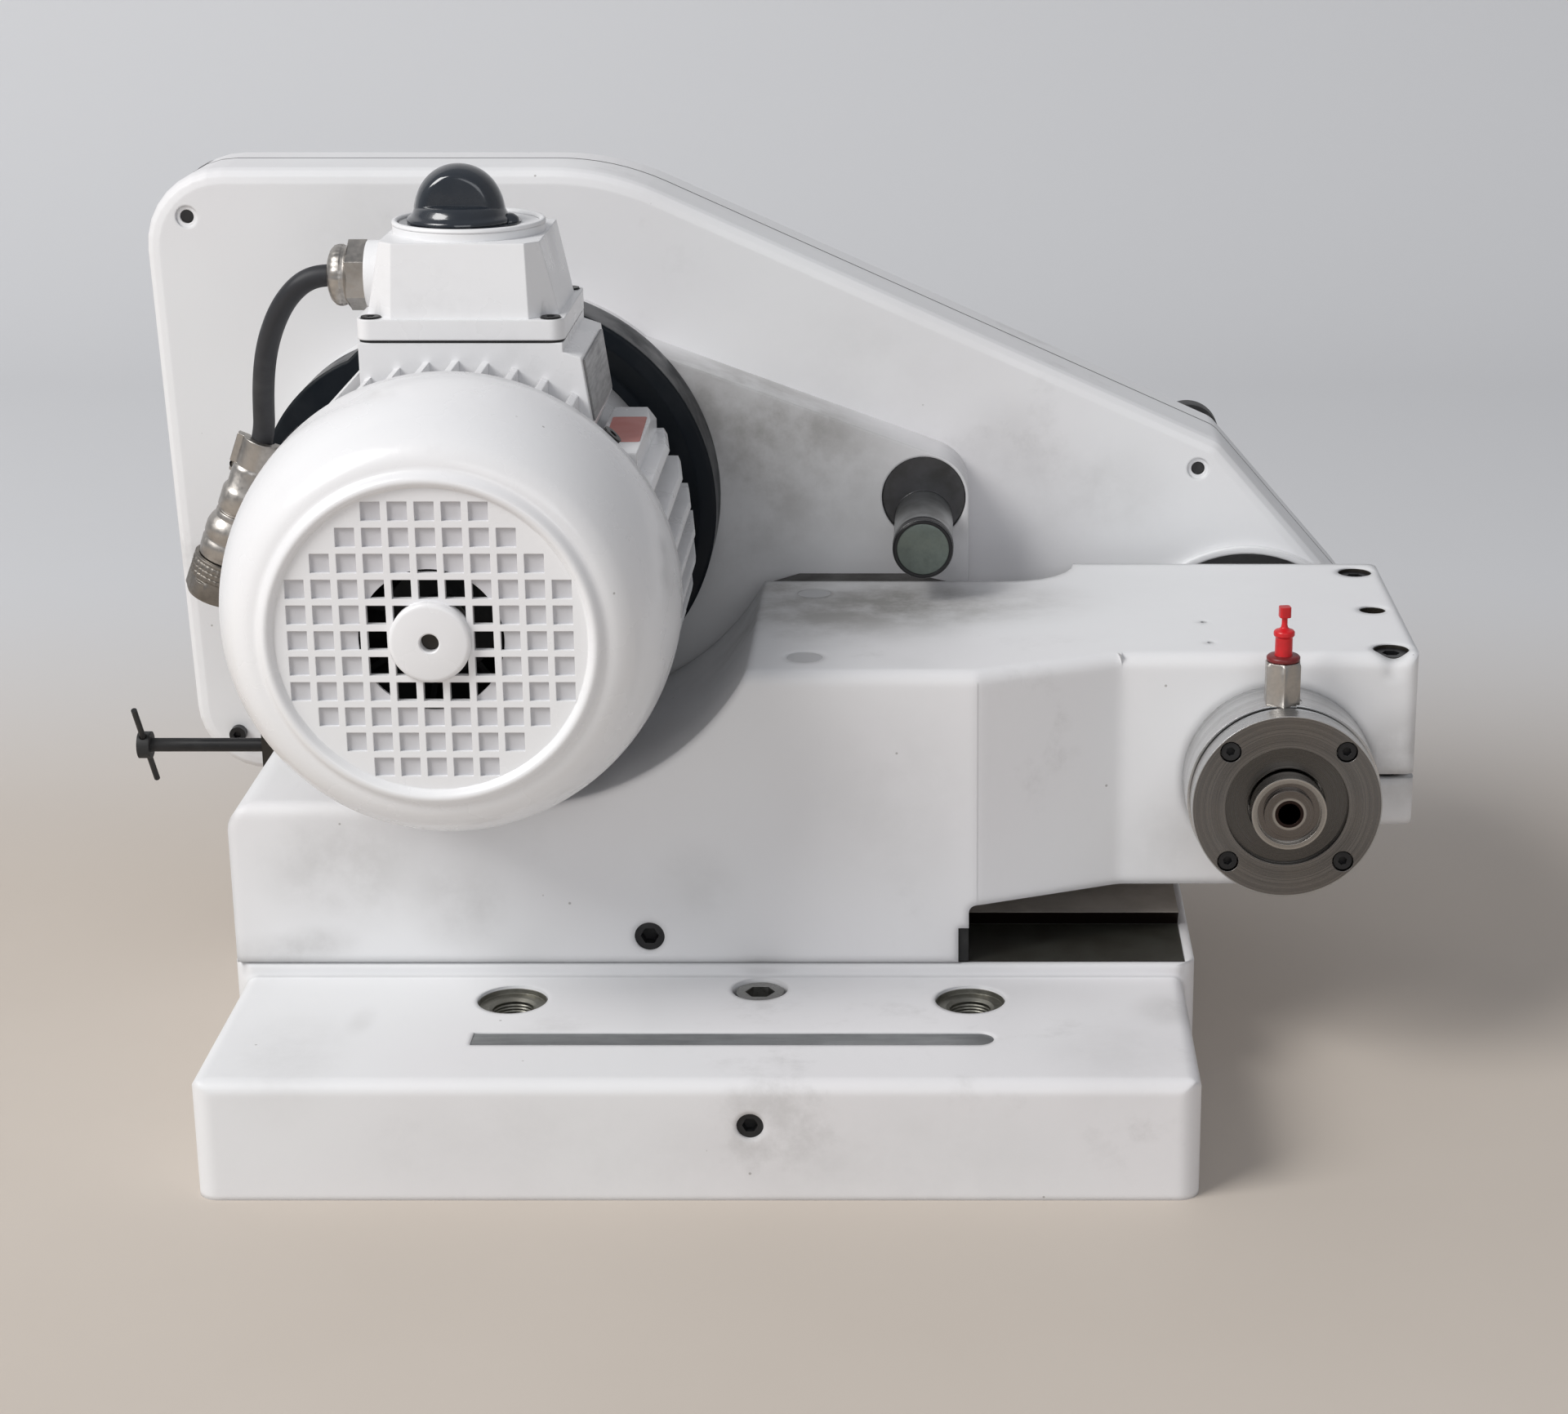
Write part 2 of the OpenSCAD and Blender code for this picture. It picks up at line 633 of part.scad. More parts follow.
module spindle_barrel() color([0.62, 0.61, 0.59]) placed() difference() {
    at_spindle() difference() {
        rod_y(barrel_d, barrel_y + fit, barrel_back);
        rod_y(bearing_od - 3, barrel_y - 1, barrel_back + 1);
        rod_y(bearing_od, barrel_y - 1, front_bearing_y + 2 * bearing_w);
        rod_y(bearing_od, rear_bearing_y, barrel_back + 1);
        difference() {
            rod_y(barrel_d + 1, barrel_y - 1, barrel_y + 1.2);
            rod_y(barrel_d - 5, barrel_y - 2, barrel_y + 2);
        }
        for (a = [45 : 90 : 315]) rotate([0, a, 0]) translate([screw_pcd / 2, 0, 0])
            rod_y(4 + 2 * fit, barrel_y - 1, barrel_y + 12);
    }
    translate([nipple_x, nipple_y, spindle_z + barrel_d / 2 - 6]) cylinder(d = 8 + 2 * fit, h = 10);
    translate([nipple_x, nipple_y, spindle_z + barrel_d / 2 - 0.8]) cylinder(d = 15, h = 3);
}

module front_cover() color([0.6, 0.59, 0.57]) placed() at_spindle() difference() {
    union() {
        rod_y(cover_d, cover_y, barrel_y);
        rod_y(bearing_od - 2 * fit, barrel_y - eps, front_bearing_y - fit);
    }
    rod_y(nose_d + 1, cover_y - 1, front_bearing_y + 1);
    rod_y(cover_recess_d, cover_y - 1, cover_y + cover_recess_h);
    for (a = [45 : 90 : 315]) rotate([0, a, 0]) translate([screw_pcd / 2, 0, 0]) {
        rod_y(4.4, cover_y - 1, barrel_y + 1);
        rod_y(8, cover_y - 1, cover_y + 4.6);
    }
}

module cover_screws() color([0.12, 0.12, 0.12]) placed() at_spindle() for (a = [45 : 90 : 315])
    rotate([0, a, 0]) translate([screw_pcd / 2, barrel_y + 11, 0]) rotate([90, 0, 0])
        cap_screw(7, 4, 4, cover_t - 4.6 + 11, 3);

module rear_cover() color([0.6, 0.59, 0.57]) placed() at_spindle() difference() {
    rod_y(cover_d, barrel_back + fit, barrel_back + rear_cover_t);
    rod_y(tail_d + 2, barrel_back - 1, barrel_back + rear_cover_t + 1);
}

module bearing_outer_rings() color([0.7, 0.7, 0.71]) placed() at_spindle() for (y = bearing_y)
    ring_y_shape(bearing_od - 2 * fit, bearing_od - 2 * race_t, y + fit, y + bearing_w - fit);

module bearing_inner_rings() color([0.7, 0.7, 0.71]) placed() at_spindle() for (y = bearing_y)
    ring_y_shape(bearing_id + 2 * race_t, bearing_id + 2 * fit, y + fit, y + bearing_w - fit);

module bearing_balls() color([0.75, 0.75, 0.76]) placed() at_spindle() for (y = bearing_y, k = [0 : ball_count - 1])
    rotate([0, k * 360 / ball_count, 0]) translate([ball_r, y + bearing_w / 2, 0]) sphere(d = ball_d, $fn = 24);

module spacer_sleeve() color([0.62, 0.61, 0.6]) placed() at_spindle()
    ring_y_shape(bearing_id + 7, bearing_id + 2 * fit, front_bearing_y + 2 * bearing_w + fit, rear_bearing_y - fit);

module spindle_shaft() color([0.66, 0.65, 0.63]) placed() at_spindle() difference() {
    union() {
        rod_y(nose_d, cover_y - nose_out, cover_y);
        rod_y(nose_d - 0.6, cover_y - eps, front_bearing_y - fit);
        rod_y(bearing_id, front_bearing_y - 1, rear_bearing_y + bearing_w);
        rod_y(tail_d, rear_bearing_y + bearing_w - eps, pulley_y + pulley_w);
        rod_y(16, pulley_y + pulley_w - eps, pulley_y + pulley_w + 10);
    }
    difference() {
        rod_y(nose_d - 4, cover_y - nose_out - 1, cover_y - nose_out + 2.5);
        rod_y(18.5, cover_y - nose_out - 2, cover_y - nose_out + 3);
    }
    rod_y(nose_bore_d, cover_y - nose_out - 1, cover_y + 30);
}

module pulley(d, flange, bore) difference() {
    union() {
        rod_y(d, pulley_y, pulley_y + pulley_w);
        rod_y(d + 2 * flange, pulley_y, pulley_y + 2.4);
        rod_y(d + 2 * flange, pulley_y + pulley_w - 2.4, pulley_y + pulley_w);
    }
    rod_y(bore, pulley_y - 1, pulley_y + pulley_w + 1);
}

module spindle_pulley() color([0.55, 0.56, 0.57]) placed() at_spindle() pulley(spindle_pulley_d, 3.5, tail_d + 2 * fit);

module spindle_nut() color([0.3, 0.3, 0.3]) placed() at_spindle() difference() {
    translate([0, pulley_y + pulley_w + fit, 0]) rotate([-90, 0, 0]) cylinder(d = 24 / cos(30), h = 8, $fn = 6);
    rod_y(16 + 2 * fit, pulley_y, pulley_y + pulley_w + 20);
}

module nipple() color([0.6, 0.56, 0.5]) placed() translate([nipple_x, nipple_y, spindle_z]) difference() {
    union() {
        translate([0, 0, nipple_z]) rotate([0, 0, 30]) cylinder(d = nipple_af / cos(30), h = nipple_h, $fn = 6);
        translate([0, 0, barrel_d / 2 - 5.9]) cylinder(d = 8, h = 8);
        translate([0, 0, barrel_d / 2 - 0.7]) cylinder(d = nipple_af, h = 2);
    }
    translate([0, 0, nipple_z + nipple_h - 8]) cylinder(d = nipple_bore_d, h = 9);
}

module red_plug() color([0.75, 0.04, 0.05]) placed()
    translate([nipple_x, nipple_y, spindle_z + nipple_z + nipple_h]) {
        translate([0, 0, -6]) cylinder(d = nipple_bore_d - 0.6, h = 7);
        translate([0, 0, joint_gap]) cylinder(d = plug_cap_d, h = 2.4);
        translate([0, 0, 2]) cylinder(d = 7, h = 10.5);
        translate([0, 0, 11]) cylinder(d = 8.6, h = 2);
        translate([0, 0, 12]) cylinder(d = 2.4, h = 7);
        translate([0, 0, 18.2]) cylinder(d = 5.2, h = 4.4);
    }

// ---- Motor bracket and belt tension ----

corner_r = 18.6;
corner_at = [shifter_x, shifter_z];
slope_a = 69.4;
bracket_bottom = low_z - 36;

module bracket_outline() {
    translate([motor_x, motor_z]) circle(ring_d / 2 - 5);
    translate([motor_x, motor_z] + ear_at) circle(ear_r + ear_step);
    translate(corner_at) circle(corner_r);
    polygon([
        [motor_x + 29, motor_z + 68.5], [motor_x - 50, motor_z], [motor_x - 50, bracket_bottom],
        [corner_at[0] + corner_r, bracket_bottom], [corner_at[0] + corner_r, corner_at[1]],
        corner_at + corner_r * [cos(slope_a), sin(slope_a)]
    ]);
}

module motor_bracket() color("whitesmoke") placed() difference() {
    union() {
        along_y(bracket_y, guard_y) bracket_outline();
        translate([lug_x, recess_y + joint_gap, recess_z + 2 * joint_gap])
            cube([lug_w, bracket_y - recess_y, low_z - recess_z - 2]);
    }
    at_motor() rod_y(62, bracket_y - 1, guard_y + 1);
    translate([shifter_x, 0, shifter_z]) rod_y(disc_d + 2 * joint_gap, bracket_y - 1, guard_y + 1);
    translate([0, screw_y, screw_z]) rod_x(screw_d + 0.6, lug_x - 1, lug_x + 7);
    for (x = bracket_screw_x) translate([x, 0, bracket_screw_z]) {
        along_y(bracket_y - 1, guard_y + 1) slot_shape(9);
        along_y(guard_y - 10, guard_y + 1) slot_shape(14);
    }
}

// Slot that leaves a screw room for the bracket's travel
module slot_shape(w) {
    circle(d = w);
    translate([-tension_travel - 0.5, 0]) circle(d = w);
    translate([-tension_travel - 0.5, -w / 2]) square([tension_travel + 0.5, w]);
}

module bracket_screws() color([0.2, 0.2, 0.2]) placed() for (x = bracket_screw_x)
    translate([x, column_back - 25, bracket_screw_z]) rotate([-90, 0, 0])
        cap_screw(13, 8, 8, guard_y - 10 + joint_gap - column_back + 25, 6);

module tension_screw() color([0.08, 0.08, 0.08]) placed() translate([0, screw_y, screw_z]) difference() {
    union() {
        rod_x(screw_d, screw_hub_x, lug_x + 6.5);
        rod_x(screw_hub_d, screw_hub_x - 3, screw_hub_x + 2);
    }
    tommy_axis() cylinder(d = tommy_d + 2 * joint_gap, h = 40, center = true);
}

module tommy_axis() translate([screw_hub_x - 0.5, 0, 0]) rotate([tommy_tilt, 0, 0]) children();

module tommy_bar() color([0.06, 0.06, 0.06]) placed() translate([0, screw_y, screw_z])
    tommy_axis() cylinder(d = tommy_d, h = tommy_l, center = true);

// Disc with an offset handle rod in front and an offset roller pin behind
module shifter() color([0.3, 0.31, 0.31]) placed() translate([shifter_x, 0, shifter_z]) {
    rod_y(disc_d, bracket_y + 1.5, guard_y);
    translate([0, 0, -rod_drop]) rod_y(rod_d, bracket_y - rod_l, bracket_y - joint_gap);
    intersection() {
        rod_y(disc_d, bracket_y - 1, bracket_y + 2);
        translate([0, 0, -rod_drop]) rod_y(rod_d, bracket_y - 2, bracket_y + 3);
    }
    translate([0, 0, roller_rise]) rod_y(pin_d, guard_y - 1, pulley_y + pulley_w - 1);
}

module idler_roller() color([0.55, 0.56, 0.57]) placed() translate([shifter_x, 0, shifter_z + roller_rise])
    ring_y_shape(roller_d, pin_d + 2 * fit, pulley_y + 1, pulley_y + pulley_w - 1.5);

// ---- Motor ----

module adapter_ring() color([0.05, 0.06, 0.09]) placed() at_motor() difference() {
    union() {
        rod_y(ring_d, ring_y, bracket_y);
        translate([ear_at[0], 0, ear_at[1]]) rod_y(2 * ear_r, ring_y, bracket_y);
    }
    translate([0, ring_y, 0]) rotate([-90, 0, 0]) rotate_extrude() polygon([
        [0, -1], [ring_d / 2 - 7, -1], [ring_d / 2 - 7, 0], [ring_d / 2 - 18, 12], [0, 12]
    ]);
    rod_y(62, ring_y, bracket_y + 1);
}

// Cooling fins in two directions, cut to the fin circle, with a square lug at each corner
module fins() intersection() {
    rotate([-90, 0, 0]) rotate_extrude() polygon([
        [0, housing_y0], [fin_d / 2, housing_y0], [fin_d / 2, fin_taper_y],
        [fin_d / 2 - fin_taper, housing_y1], [0, housing_y1]
    ]);
    union() {
        for (k = [-4 : 4]) translate([k * fin_pitch_top - fin_t / 2, housing_y0, -fin_d / 2])
            cube([fin_t, housing_y1 - housing_y0, fin_d]);
        for (k = [-3.5 : 3.5]) translate([-fin_d / 2, housing_y0, k * fin_pitch_side - fin_t / 2])
            cube([fin_d, housing_y1 - housing_y0, fin_t]);
        for (x = [-1, 1], z = [-1, 1]) translate([
            x > 0 ? lug_in[0] : -lug_out[0], housing_y0 + 12, z > 0 ? lug_in[1] : -lug_out[1]
        ]) cube([lug_out[0] - lug_in[0], housing_y1 - housing_y0 - 15, lug_out[1] - lug_in[1]]);
    }
}

module stator_housing() color([0.93, 0.93, 0.93]) placed() difference() {
    union() {
        at_motor() {
            rod_y(stator_d, housing_y0, housing_y1);
            fins();
            for (a = [45 : 90 : 315]) rotate([0, a, 0]) translate([stator_d / 2 - 3, fan_cover_back - 5, -7])
                cube([tab_r - fit - stator_d / 2 + 3, 17, 14]);
        }
        translate([box_x - box_w / 2 + 0.6, box_y + 0.6, motor_z])
            cube([box_w - 1.2, box_d - 1.2, gasket_z - motor_z]);
        along_y(box_y + 0.6, box_y + box_d - 0.6) polygon(plate_pad);
    }
    at_motor() rod_y(stator_d - 14, housing_y0 - 20, housing_y1 + 1);
    translate([box_x - 22, box_y + 12, motor_z]) cube([44, box_d - 24, gasket_z - motor_z + 1]);
    at_motor() for (a = [45 : 90 : 315]) rotate([0, a, 0]) translate([tab_r - 11, tab_screw_y, 0])
        rotate([0, 90, 0]) cylinder(d = 4 + 2 * fit, h = 20);
}

module end_shields() color([0.86, 0.86, 0.86]) placed() at_motor() {
    difference() {
        union() {
            rod_y(stator_d - 14 - 2 * fit, housing_y0 - shield_t, housing_y0 + 8);
            rod_y(stator_d - 8, housing_y0 - shield_t, housing_y0 - fit);
        }
        rod_y(motor_bearing_od + 2 * fit, housing_y0 - shield_t + 2, housing_y0 + 9);
        rod_y(24, housing_y0 - shield_t - 1, housing_y0 + 9);
    }
    difference() {
        union() {
            rod_y(stator_d, shield_y + fit, ring_y + 12 - fit);
            rod_y(stator_d - 14 - 2 * fit, shield_y - 8, shield_y + 1);
        }
        rod_y(motor_bearing_od + 2 * fit, shield_y - 9, shield_y + 8);
        rod_y(24, shield_y, ring_y + 13);
    }
}

core_y0 = housing_y0 + 20;
core_y1 = shield_y - 20;

module stator_core() color([0.45, 0.3, 0.2]) placed() at_motor() {
    ring_y_shape(stator_d - 14 - 2 * fit, rotor_d + 2 * core_gap, core_y0, core_y1);
    ring_y_shape(stator_d - 22, rotor_d + 6, core_y0 - 9, core_y0 - eps);
    ring_y_shape(stator_d - 22, rotor_d + 6, core_y1 + eps, core_y1 + 9);
}

module rotor() color([0.5, 0.5, 0.5]) placed() at_motor() {
    rod_y(20, housing_y0 - shield_t, ring_y + 14);
    rod_y(rotor_d, core_y0 + 1, core_y1 - 1);
    rod_y(motor_shaft_d, fan_y - 4, housing_y0);
    rod_y(motor_shaft_d, ring_y, pulley_y + pulley_w + 2);
}

module motor_bearings() color([0.7, 0.7, 0.71]) placed() at_motor() {
    ring_y_shape(motor_bearing_od, 20 + 2 * fit, housing_y0 - shield_t + 2 + fit, housing_y0 + 8);
    ring_y_shape(motor_bearing_od, 20 + 2 * fit, shield_y - 7, shield_y + 8 - fit);
}

module motor_pulley() color([0.55, 0.56, 0.57]) placed() at_motor() pulley(motor_pulley_d, 4, motor_shaft_d + 2 * fit);

module motor_fan() color([0.2, 0.2, 0.21]) placed() at_motor() difference() {
    union() {
        rod_y(40, fan_y, fan_y + fan_w);
        rod_y(fan_d, fan_y + fan_w - 2.5, fan_y + fan_w);
        for (k = [0 : 7]) rotate([0, k * 45 + 10, 0]) translate([15, fan_y + 2, -1.2])
            cube([fan_d / 2 - 16, fan_w - 3, 2.4]);
    }
    rod_y(motor_shaft_d + 2 * fit, fan_y - 1, fan_y + fan_w + 1);
}

// Dome of the fan cover: a quarter ellipse from the flat disc to the widest circle
function dome(inner) = [
    for (k = [0 : 9])
        let (a = k * 10)
        [fan_disc_d / 2 + (fan_cover_d - fan_disc_d) / 2 * sin(a) - inner,
         fan_cover_bulge - (fan_cover_bulge - fan_cover_y - inner) * cos(a)]
];

module fan_cover() color("whitesmoke") placed() at_motor() difference() {
    union() {
        difference() {
            rotate([-90, 0, 0]) rotate_extrude() polygon(concat(
                [[0, grille_y], [grille_r, grille_y], [fan_disc_d / 2 - 4.5, fan_cover_y]],
                dome(0),
                [[fan_cover_d / 2, fan_cover_back], [fan_cover_d / 2 - fan_cover_t, fan_cover_back]],
                [for (i = [9 : -1 : 0]) dome(fan_cover_t)[i]],
                [[fan_disc_d / 2 - 6, grille_back], [0, grille_back]]
            ));
            intersection() {
                rod_y(2 * grille_r + 1, fan_cover_y - 1, grille_y + grille_depth);
                grille(5, grille_r / grille_pitch);
            }
            intersection() {
                rod_y(open_zone_d, fan_cover_y - 1, grille_back + 1);
                grille(3, 5);
            }
        }
        rod_y(hub_d, fan_cover_y - 2, grille_back);
        for (a = [45 : 90 : 315]) rotate([0, a, 0]) {
            translate([tab_r, fan_cover_back - 6, -6]) cube([fan_cover_d / 2 - 0.8 - tab_r, 6, 12]);
            translate([tab_r, fan_cover_back - 6, -6]) cube([tab_t, 15, 12]);
        }
    }
    rod_y(hub_hole_d, fan_cover_y - 3, grille_back + 1);
    for (a = [45 : 90 : 315]) rotate([0, a, 0]) translate([tab_r - 2, tab_screw_y, 0])
        rotate([0, 90, 0]) cylinder(d = 4.4, h = 6);
}

// Square cells of the grille up to n places from the middle and within the given reach
module grille(n, reach) for (i = [-n : n], j = [-n : n]) if (norm([i, j]) < reach)
    translate([(i - 0.5) * grille_pitch + grille_rib / 2, fan_cover_y - 2, (j - 0.5) * grille_pitch + grille_rib / 2])
        cube([grille_pitch - grille_rib, 12, grille_pitch - grille_rib]);

// Screws of the cover's rim
module fan_cover_screws() color([0.12, 0.12, 0.12]) placed() at_motor() for (a = [45 : 90 : 315])
    rotate([0, a, 0]) translate([tab_r - 10, tab_screw_y, 0]) rotate([0, 90, 0])
        cap_screw(7.6, 4.4, 4, 10 + tab_t + fit, 3);

module rating_plate() color([0.8, 0.8, 0.8]) placed() let (
    u = unit(plate_bottom - plate_top), n = [-u[1], u[0]], a = plate_top + u * 1.5, b = plate_bottom - u * 1.5
) along_y(box_y + 4, box_y + box_d - 5) polygon([a + n * fit, b + n * fit, b + n * plate_t, a + n * plate_t]);

// ---- Terminal box ----

module box_plan(w, d, c) polygon([
    [-w / 2 + c, -d / 2], [w / 2 - c, -d / 2], [w / 2, -d / 2 + c], [w / 2, d / 2 - c],
    [w / 2 - c, d / 2], [-w / 2 + c, d / 2], [-w / 2, d / 2 - c], [-w / 2, -d / 2 + c]
]);

module at_box(z) translate([box_x, box_y + box_d / 2, z]) children();

module lid_taper(less) hull() {
    linear_extrude(eps) box_plan(lid_bottom[0] - less, lid_bottom[1] - less, lid_bottom[2]);
    translate([0, 0, lid_h - less / 2 - eps]) linear_extrude(eps)
        box_plan(lid_top[0] - less, lid_top[1] - less, lid_top[2]);
}

box_screw = [box_w / 2 - 5, box_d / 2 - 4.6];

module terminal_gasket() color([0.06, 0.06, 0.06]) placed() at_box(gasket_z) linear_extrude(gasket_t) difference() {
    round_rect(box_w - 1, box_d - 1, 5);
    square([box_w - 20, box_d - 20], center = true);
    for (x = [-1, 1], y = [-1, 1]) translate([x * box_screw[0], y * box_screw[1]]) circle(d = 4.4);
}

module terminal_lid() color("whitesmoke") placed() difference() {
    union() {
        at_box(box_z) linear_extrude(box_flange_t) round_rect(box_w, box_d, 5);
        at_box(lid_z - eps) lid_taper(0);
        at_box(deck_z - eps) cylinder(d = seat_d, h = seat_h);
        translate([0, gland_y, gland_z]) rod_x(gland_d + 3, gland_x, box_x - 24);
    }
    at_box(lid_z - box_flange_t - 1) linear_extrude(box_flange_t + 1.5) square([box_w - 20, box_d - 20], center = true);
    at_box(lid_z) lid_taper(6);
    at_box(deck_z - 5) cylinder(d = 9, h = 20);
    translate([0, gland_y, gland_z]) rod_x(20 + 2 * fit, gland_x - 1, box_x - 20);
    at_box(box_z) for (x = [-1, 1], y = [-1, 1]) translate([x * box_screw[0], y * box_screw[1], -1]) {
        cylinder(d = 4.6, h = 20);
        translate([0, 0, 1 + box_flange_t - 2]) cylinder(d = 7.6, h = 20);
    }
}

module lid_screws() color([0.15, 0.15, 0.15]) placed() at_box(gasket_z + fit) for (x = [-1, 1], y = [-1, 1])
    translate([x * box_screw[0], y * box_screw[1], 0]) cap_screw(7, 2.6, 4, gasket_t + box_flange_t - 2, 3);

module switch_body() color([0.1, 0.1, 0.1]) placed() at_box(deck_z - 3.1) {
    translate([-19, -19, -18]) cube([38, 38, 18]);
    cylinder(d = 8, h = 3.1 + seat_h + 4);
}

// Round knob with a raised grip across it
module switch_knob() color([0.05, 0.06, 0.09]) placed() at_box(deck_z + seat_h + joint_gap) difference() {
    rotate_extrude() polygon(concat(
        [[0, 0], [knob_d / 2, 0], [knob_d / 2, 3]],
        [for (a = [0 : 10 : 90]) [knob_d / 2 * cos(a), 3 + (knob_h - 3) * sin(a)]]
    ));
    for (s = [-1, 1]) translate([s * (4 + knob_d / 2), 0, knob_h + 4]) rotate([90, 0, 0])
        cylinder(d = knob_d, h = knob_d + 2, center = true);
    translate([0, 0, -1]) cylinder(d = 8 + 2 * joint_gap, h = 6);
}

// ---- Cable gland, cable and connector ----

hex_l = 7.6;
dome_l = 7.2;

module cable_gland() color([0.6, 0.58, 0.53]) placed() translate([0, gland_y, gland_z]) {
    rod_x(20, gland_x - 1, gland_x + 9);
    translate([gland_x - hex_l, 0, 0]) rotate([0, 90, 0]) rotate([0, 0, 30])
        cylinder(d = gland_d / cos(30), h = hex_l - fit, $fn = 6);
    translate([gland_x - hex_l + eps, 0, 0]) rotate([0, -90, 0]) rotate_extrude() polygon(concat(
        [[0, 0], [gland_d / 2 - 1, 0], [gland_d / 2 - 1, dome_l * 0.4]],
        [for (a = [15 : 15 : 75])
            [gland_d / 2 - 1 - 4.5 * (1 - cos(a)), dome_l * 0.4 + dome_l * 0.6 * sin(a)]],
        [[cable_d / 2 + 2, dome_l], [0, dome_l]]
    ));
}

// Round tube of the given diameter swept along a route
module tube(route, d, sides) let (
    n = len(route),
    along = [for (i = [0 : n - 1]) unit(route[min(i + 1, n - 1)] - route[max(i - 1, 0)])],
    side = [for (t = along) unit(cross(t, [0, 1, 0]))],
    pts = [for (i = [0 : n - 1], k = [0 : sides - 1])
        let (u = side[i], v = cross(along[i], u), a = k * 360 / sides)
        route[i] + d / 2 * (u * cos(a) + v * sin(a))]
) polyhedron(points = pts, faces = concat(
    [[for (k = [0 : sides - 1]) k]],
    [for (i = [0 : n - 2], k = [0 : sides - 1])
        [i * sides + k, (i + 1) * sides + k, (i + 1) * sides + (k + 1) % sides, i * sides + (k + 1) % sides]],
    [[for (k = [sides - 1 : -1 : 0]) (n - 1) * sides + k]]
));

module cable() color([0.17, 0.17, 0.19]) placed() tube(cable_route, cable_d, 12);

module at_connector() translate(cable_route[len(cable_route) - 1])
    rotate([connector_lean, connector_tilt, 0]) rotate([180, 0, 0]) children();

module connector() color([0.62, 0.6, 0.56]) placed() at_connector() difference() {
    union() {
        translate([0, 0, 0.02]) cylinder(d = 15, h = 4);
        difference() {
            translate([-7.5, -8, -clamp_rise]) cube([15, 8, clamp_rise + 2]);
            translate([0, 0, -clamp_rise - 1]) cylinder(d = cable_d + 2 * joint_gap + 0.6, h = clamp_rise + 1.02);
        }
        translate([-9.5, -6.5, 1.5]) cube([19, 13, 7]);
        translate([0, 0, 3]) cylinder(d = connector_d - 2, h = 10);
        translate([0, 0, 12]) cylinder(d = connector_d, h = 14);
        translate([0, 0, 25]) cylinder(d1 = connector_d, d2 = connector_wide, h = 5);
        translate([0, 0, 30 - eps]) cylinder(d = connector_wide, h = connector_l - 30);
        translate([0, 0, connector_l - 1]) cylinder(d = connector_d, h = coupling_l - 4);
    }
    translate([0, 0, 22.4]) difference() {
        cylinder(d = connector_d + 2, h = 0.8);
        translate([0, 0, -1]) cylinder(d = connector_d - 1, h = 3);
    }
    for (k = [0 : 5]) rotate([0, 0, k * 60]) translate([5.5, 0, connector_l + coupling_l - 8]) cylinder(d = 2, h = 9);
}

module coupling_nut() color([0.6, 0.57, 0.52]) placed() at_connector() difference() {
    translate([0, 0, connector_l + joint_gap]) cylinder(d = coupling_d, h = coupling_l);
    translate([0, 0, connector_l]) cylinder(d = connector_d + 2 * joint_gap, h = coupling_l + 2);
}

// ---- Belt guard ----

module guard_shape(d) {
    polygon(rounded(inset(guard_corners, d), [for (r = guard_radii) max(r - d, 1)]));
    translate([spindle_x, spindle_z]) circle(guard_nose_r - d);
}

// Shell with a rounded outer edge; the face plate lies at y, the open side at y + depth
module guard_shell(depth) difference() {
    hull() for (a = [0, 30, 60, 90])
        along_y(guard_edge_r * (1 - sin(a)), a == 0 ? depth : guard_edge_r * (1 - sin(a)) + eps)
            guard_shape(guard_edge_r * (1 - cos(a)));
    along_y(guard_wall, depth + 1) guard_shape(guard_wall);
}

module guard_front() color("whitesmoke") placed() difference() {
    union() {
        translate([0, guard_y, 0]) guard_shell(guard_front_d);
        at_spindle() rod_y(2 * (guard_open_r + guard_lip), guard_y - 3.5, guard_y + 1);
        for (p = guard_stud) translate([p[0], 0, p[1]]) rod_y(12, guard_y + 1, guard_y + 9);
    }
    at_spindle() rod_y(2 * guard_open_r, guard_y - 5, guard_y + guard_wall + 1);
    at_motor() rod_y(64, guard_y - 1, guard_y + guard_wall + 1);
    translate([shifter_x, 0, shifter_z]) rod_y(2 * roller_rise + pin_d + 5, guard_y - 1, guard_y + guard_wall + 1);
    for (p = guard_stud) translate([p[0], 0, p[1]]) {
        rod_y(5.6, guard_y - 1, guard_y + 12);
        rod_y(stud_boss_d, guard_y - 1, guard_y + 0.8);
    }
    translate([guard_screw_at[0], 0, guard_screw_at[1]]) rod_y(4 + 2 * fit, guard_y - 1, guard_y + 12);
}

module guard_cover() color("whitesmoke") placed() difference() {
    translate([0, guard_back, 0]) mirror([0, 1, 0]) guard_shell(guard_rear_d - joint_gap);
    for (p = guard_stud) translate([p[0], 0, p[1]]) rod_y(5.6, guard_split, guard_back + 1);
}

module guard_screw() color([0.1, 0.1, 0.1]) placed() translate([guard_screw_at[0], guard_y + 8, guard_screw_at[1]])
    rotate([90, 0, 0]) cap_screw(7, 4, 4, 8, 3);

// Knob behind the cover with a stud that screws into the guard's front half
module guard_knob(p) color([0.06, 0.06, 0.07]) placed() translate([p[0], 0, p[1]]) {
    rod_y(5, guard_y + 1, guard_back + 1);
    rod_y(12, guard_back + joint_gap, guard_back + 5);
    rod_y(guard_knob_d, guard_back + 4, guard_back + 14);
}

module knob_top() guard_knob(guard_stud[0]);
module knob_right() guard_knob(guard_stud[1]);
module knob_bottom() guard_knob(guard_stud[2]);

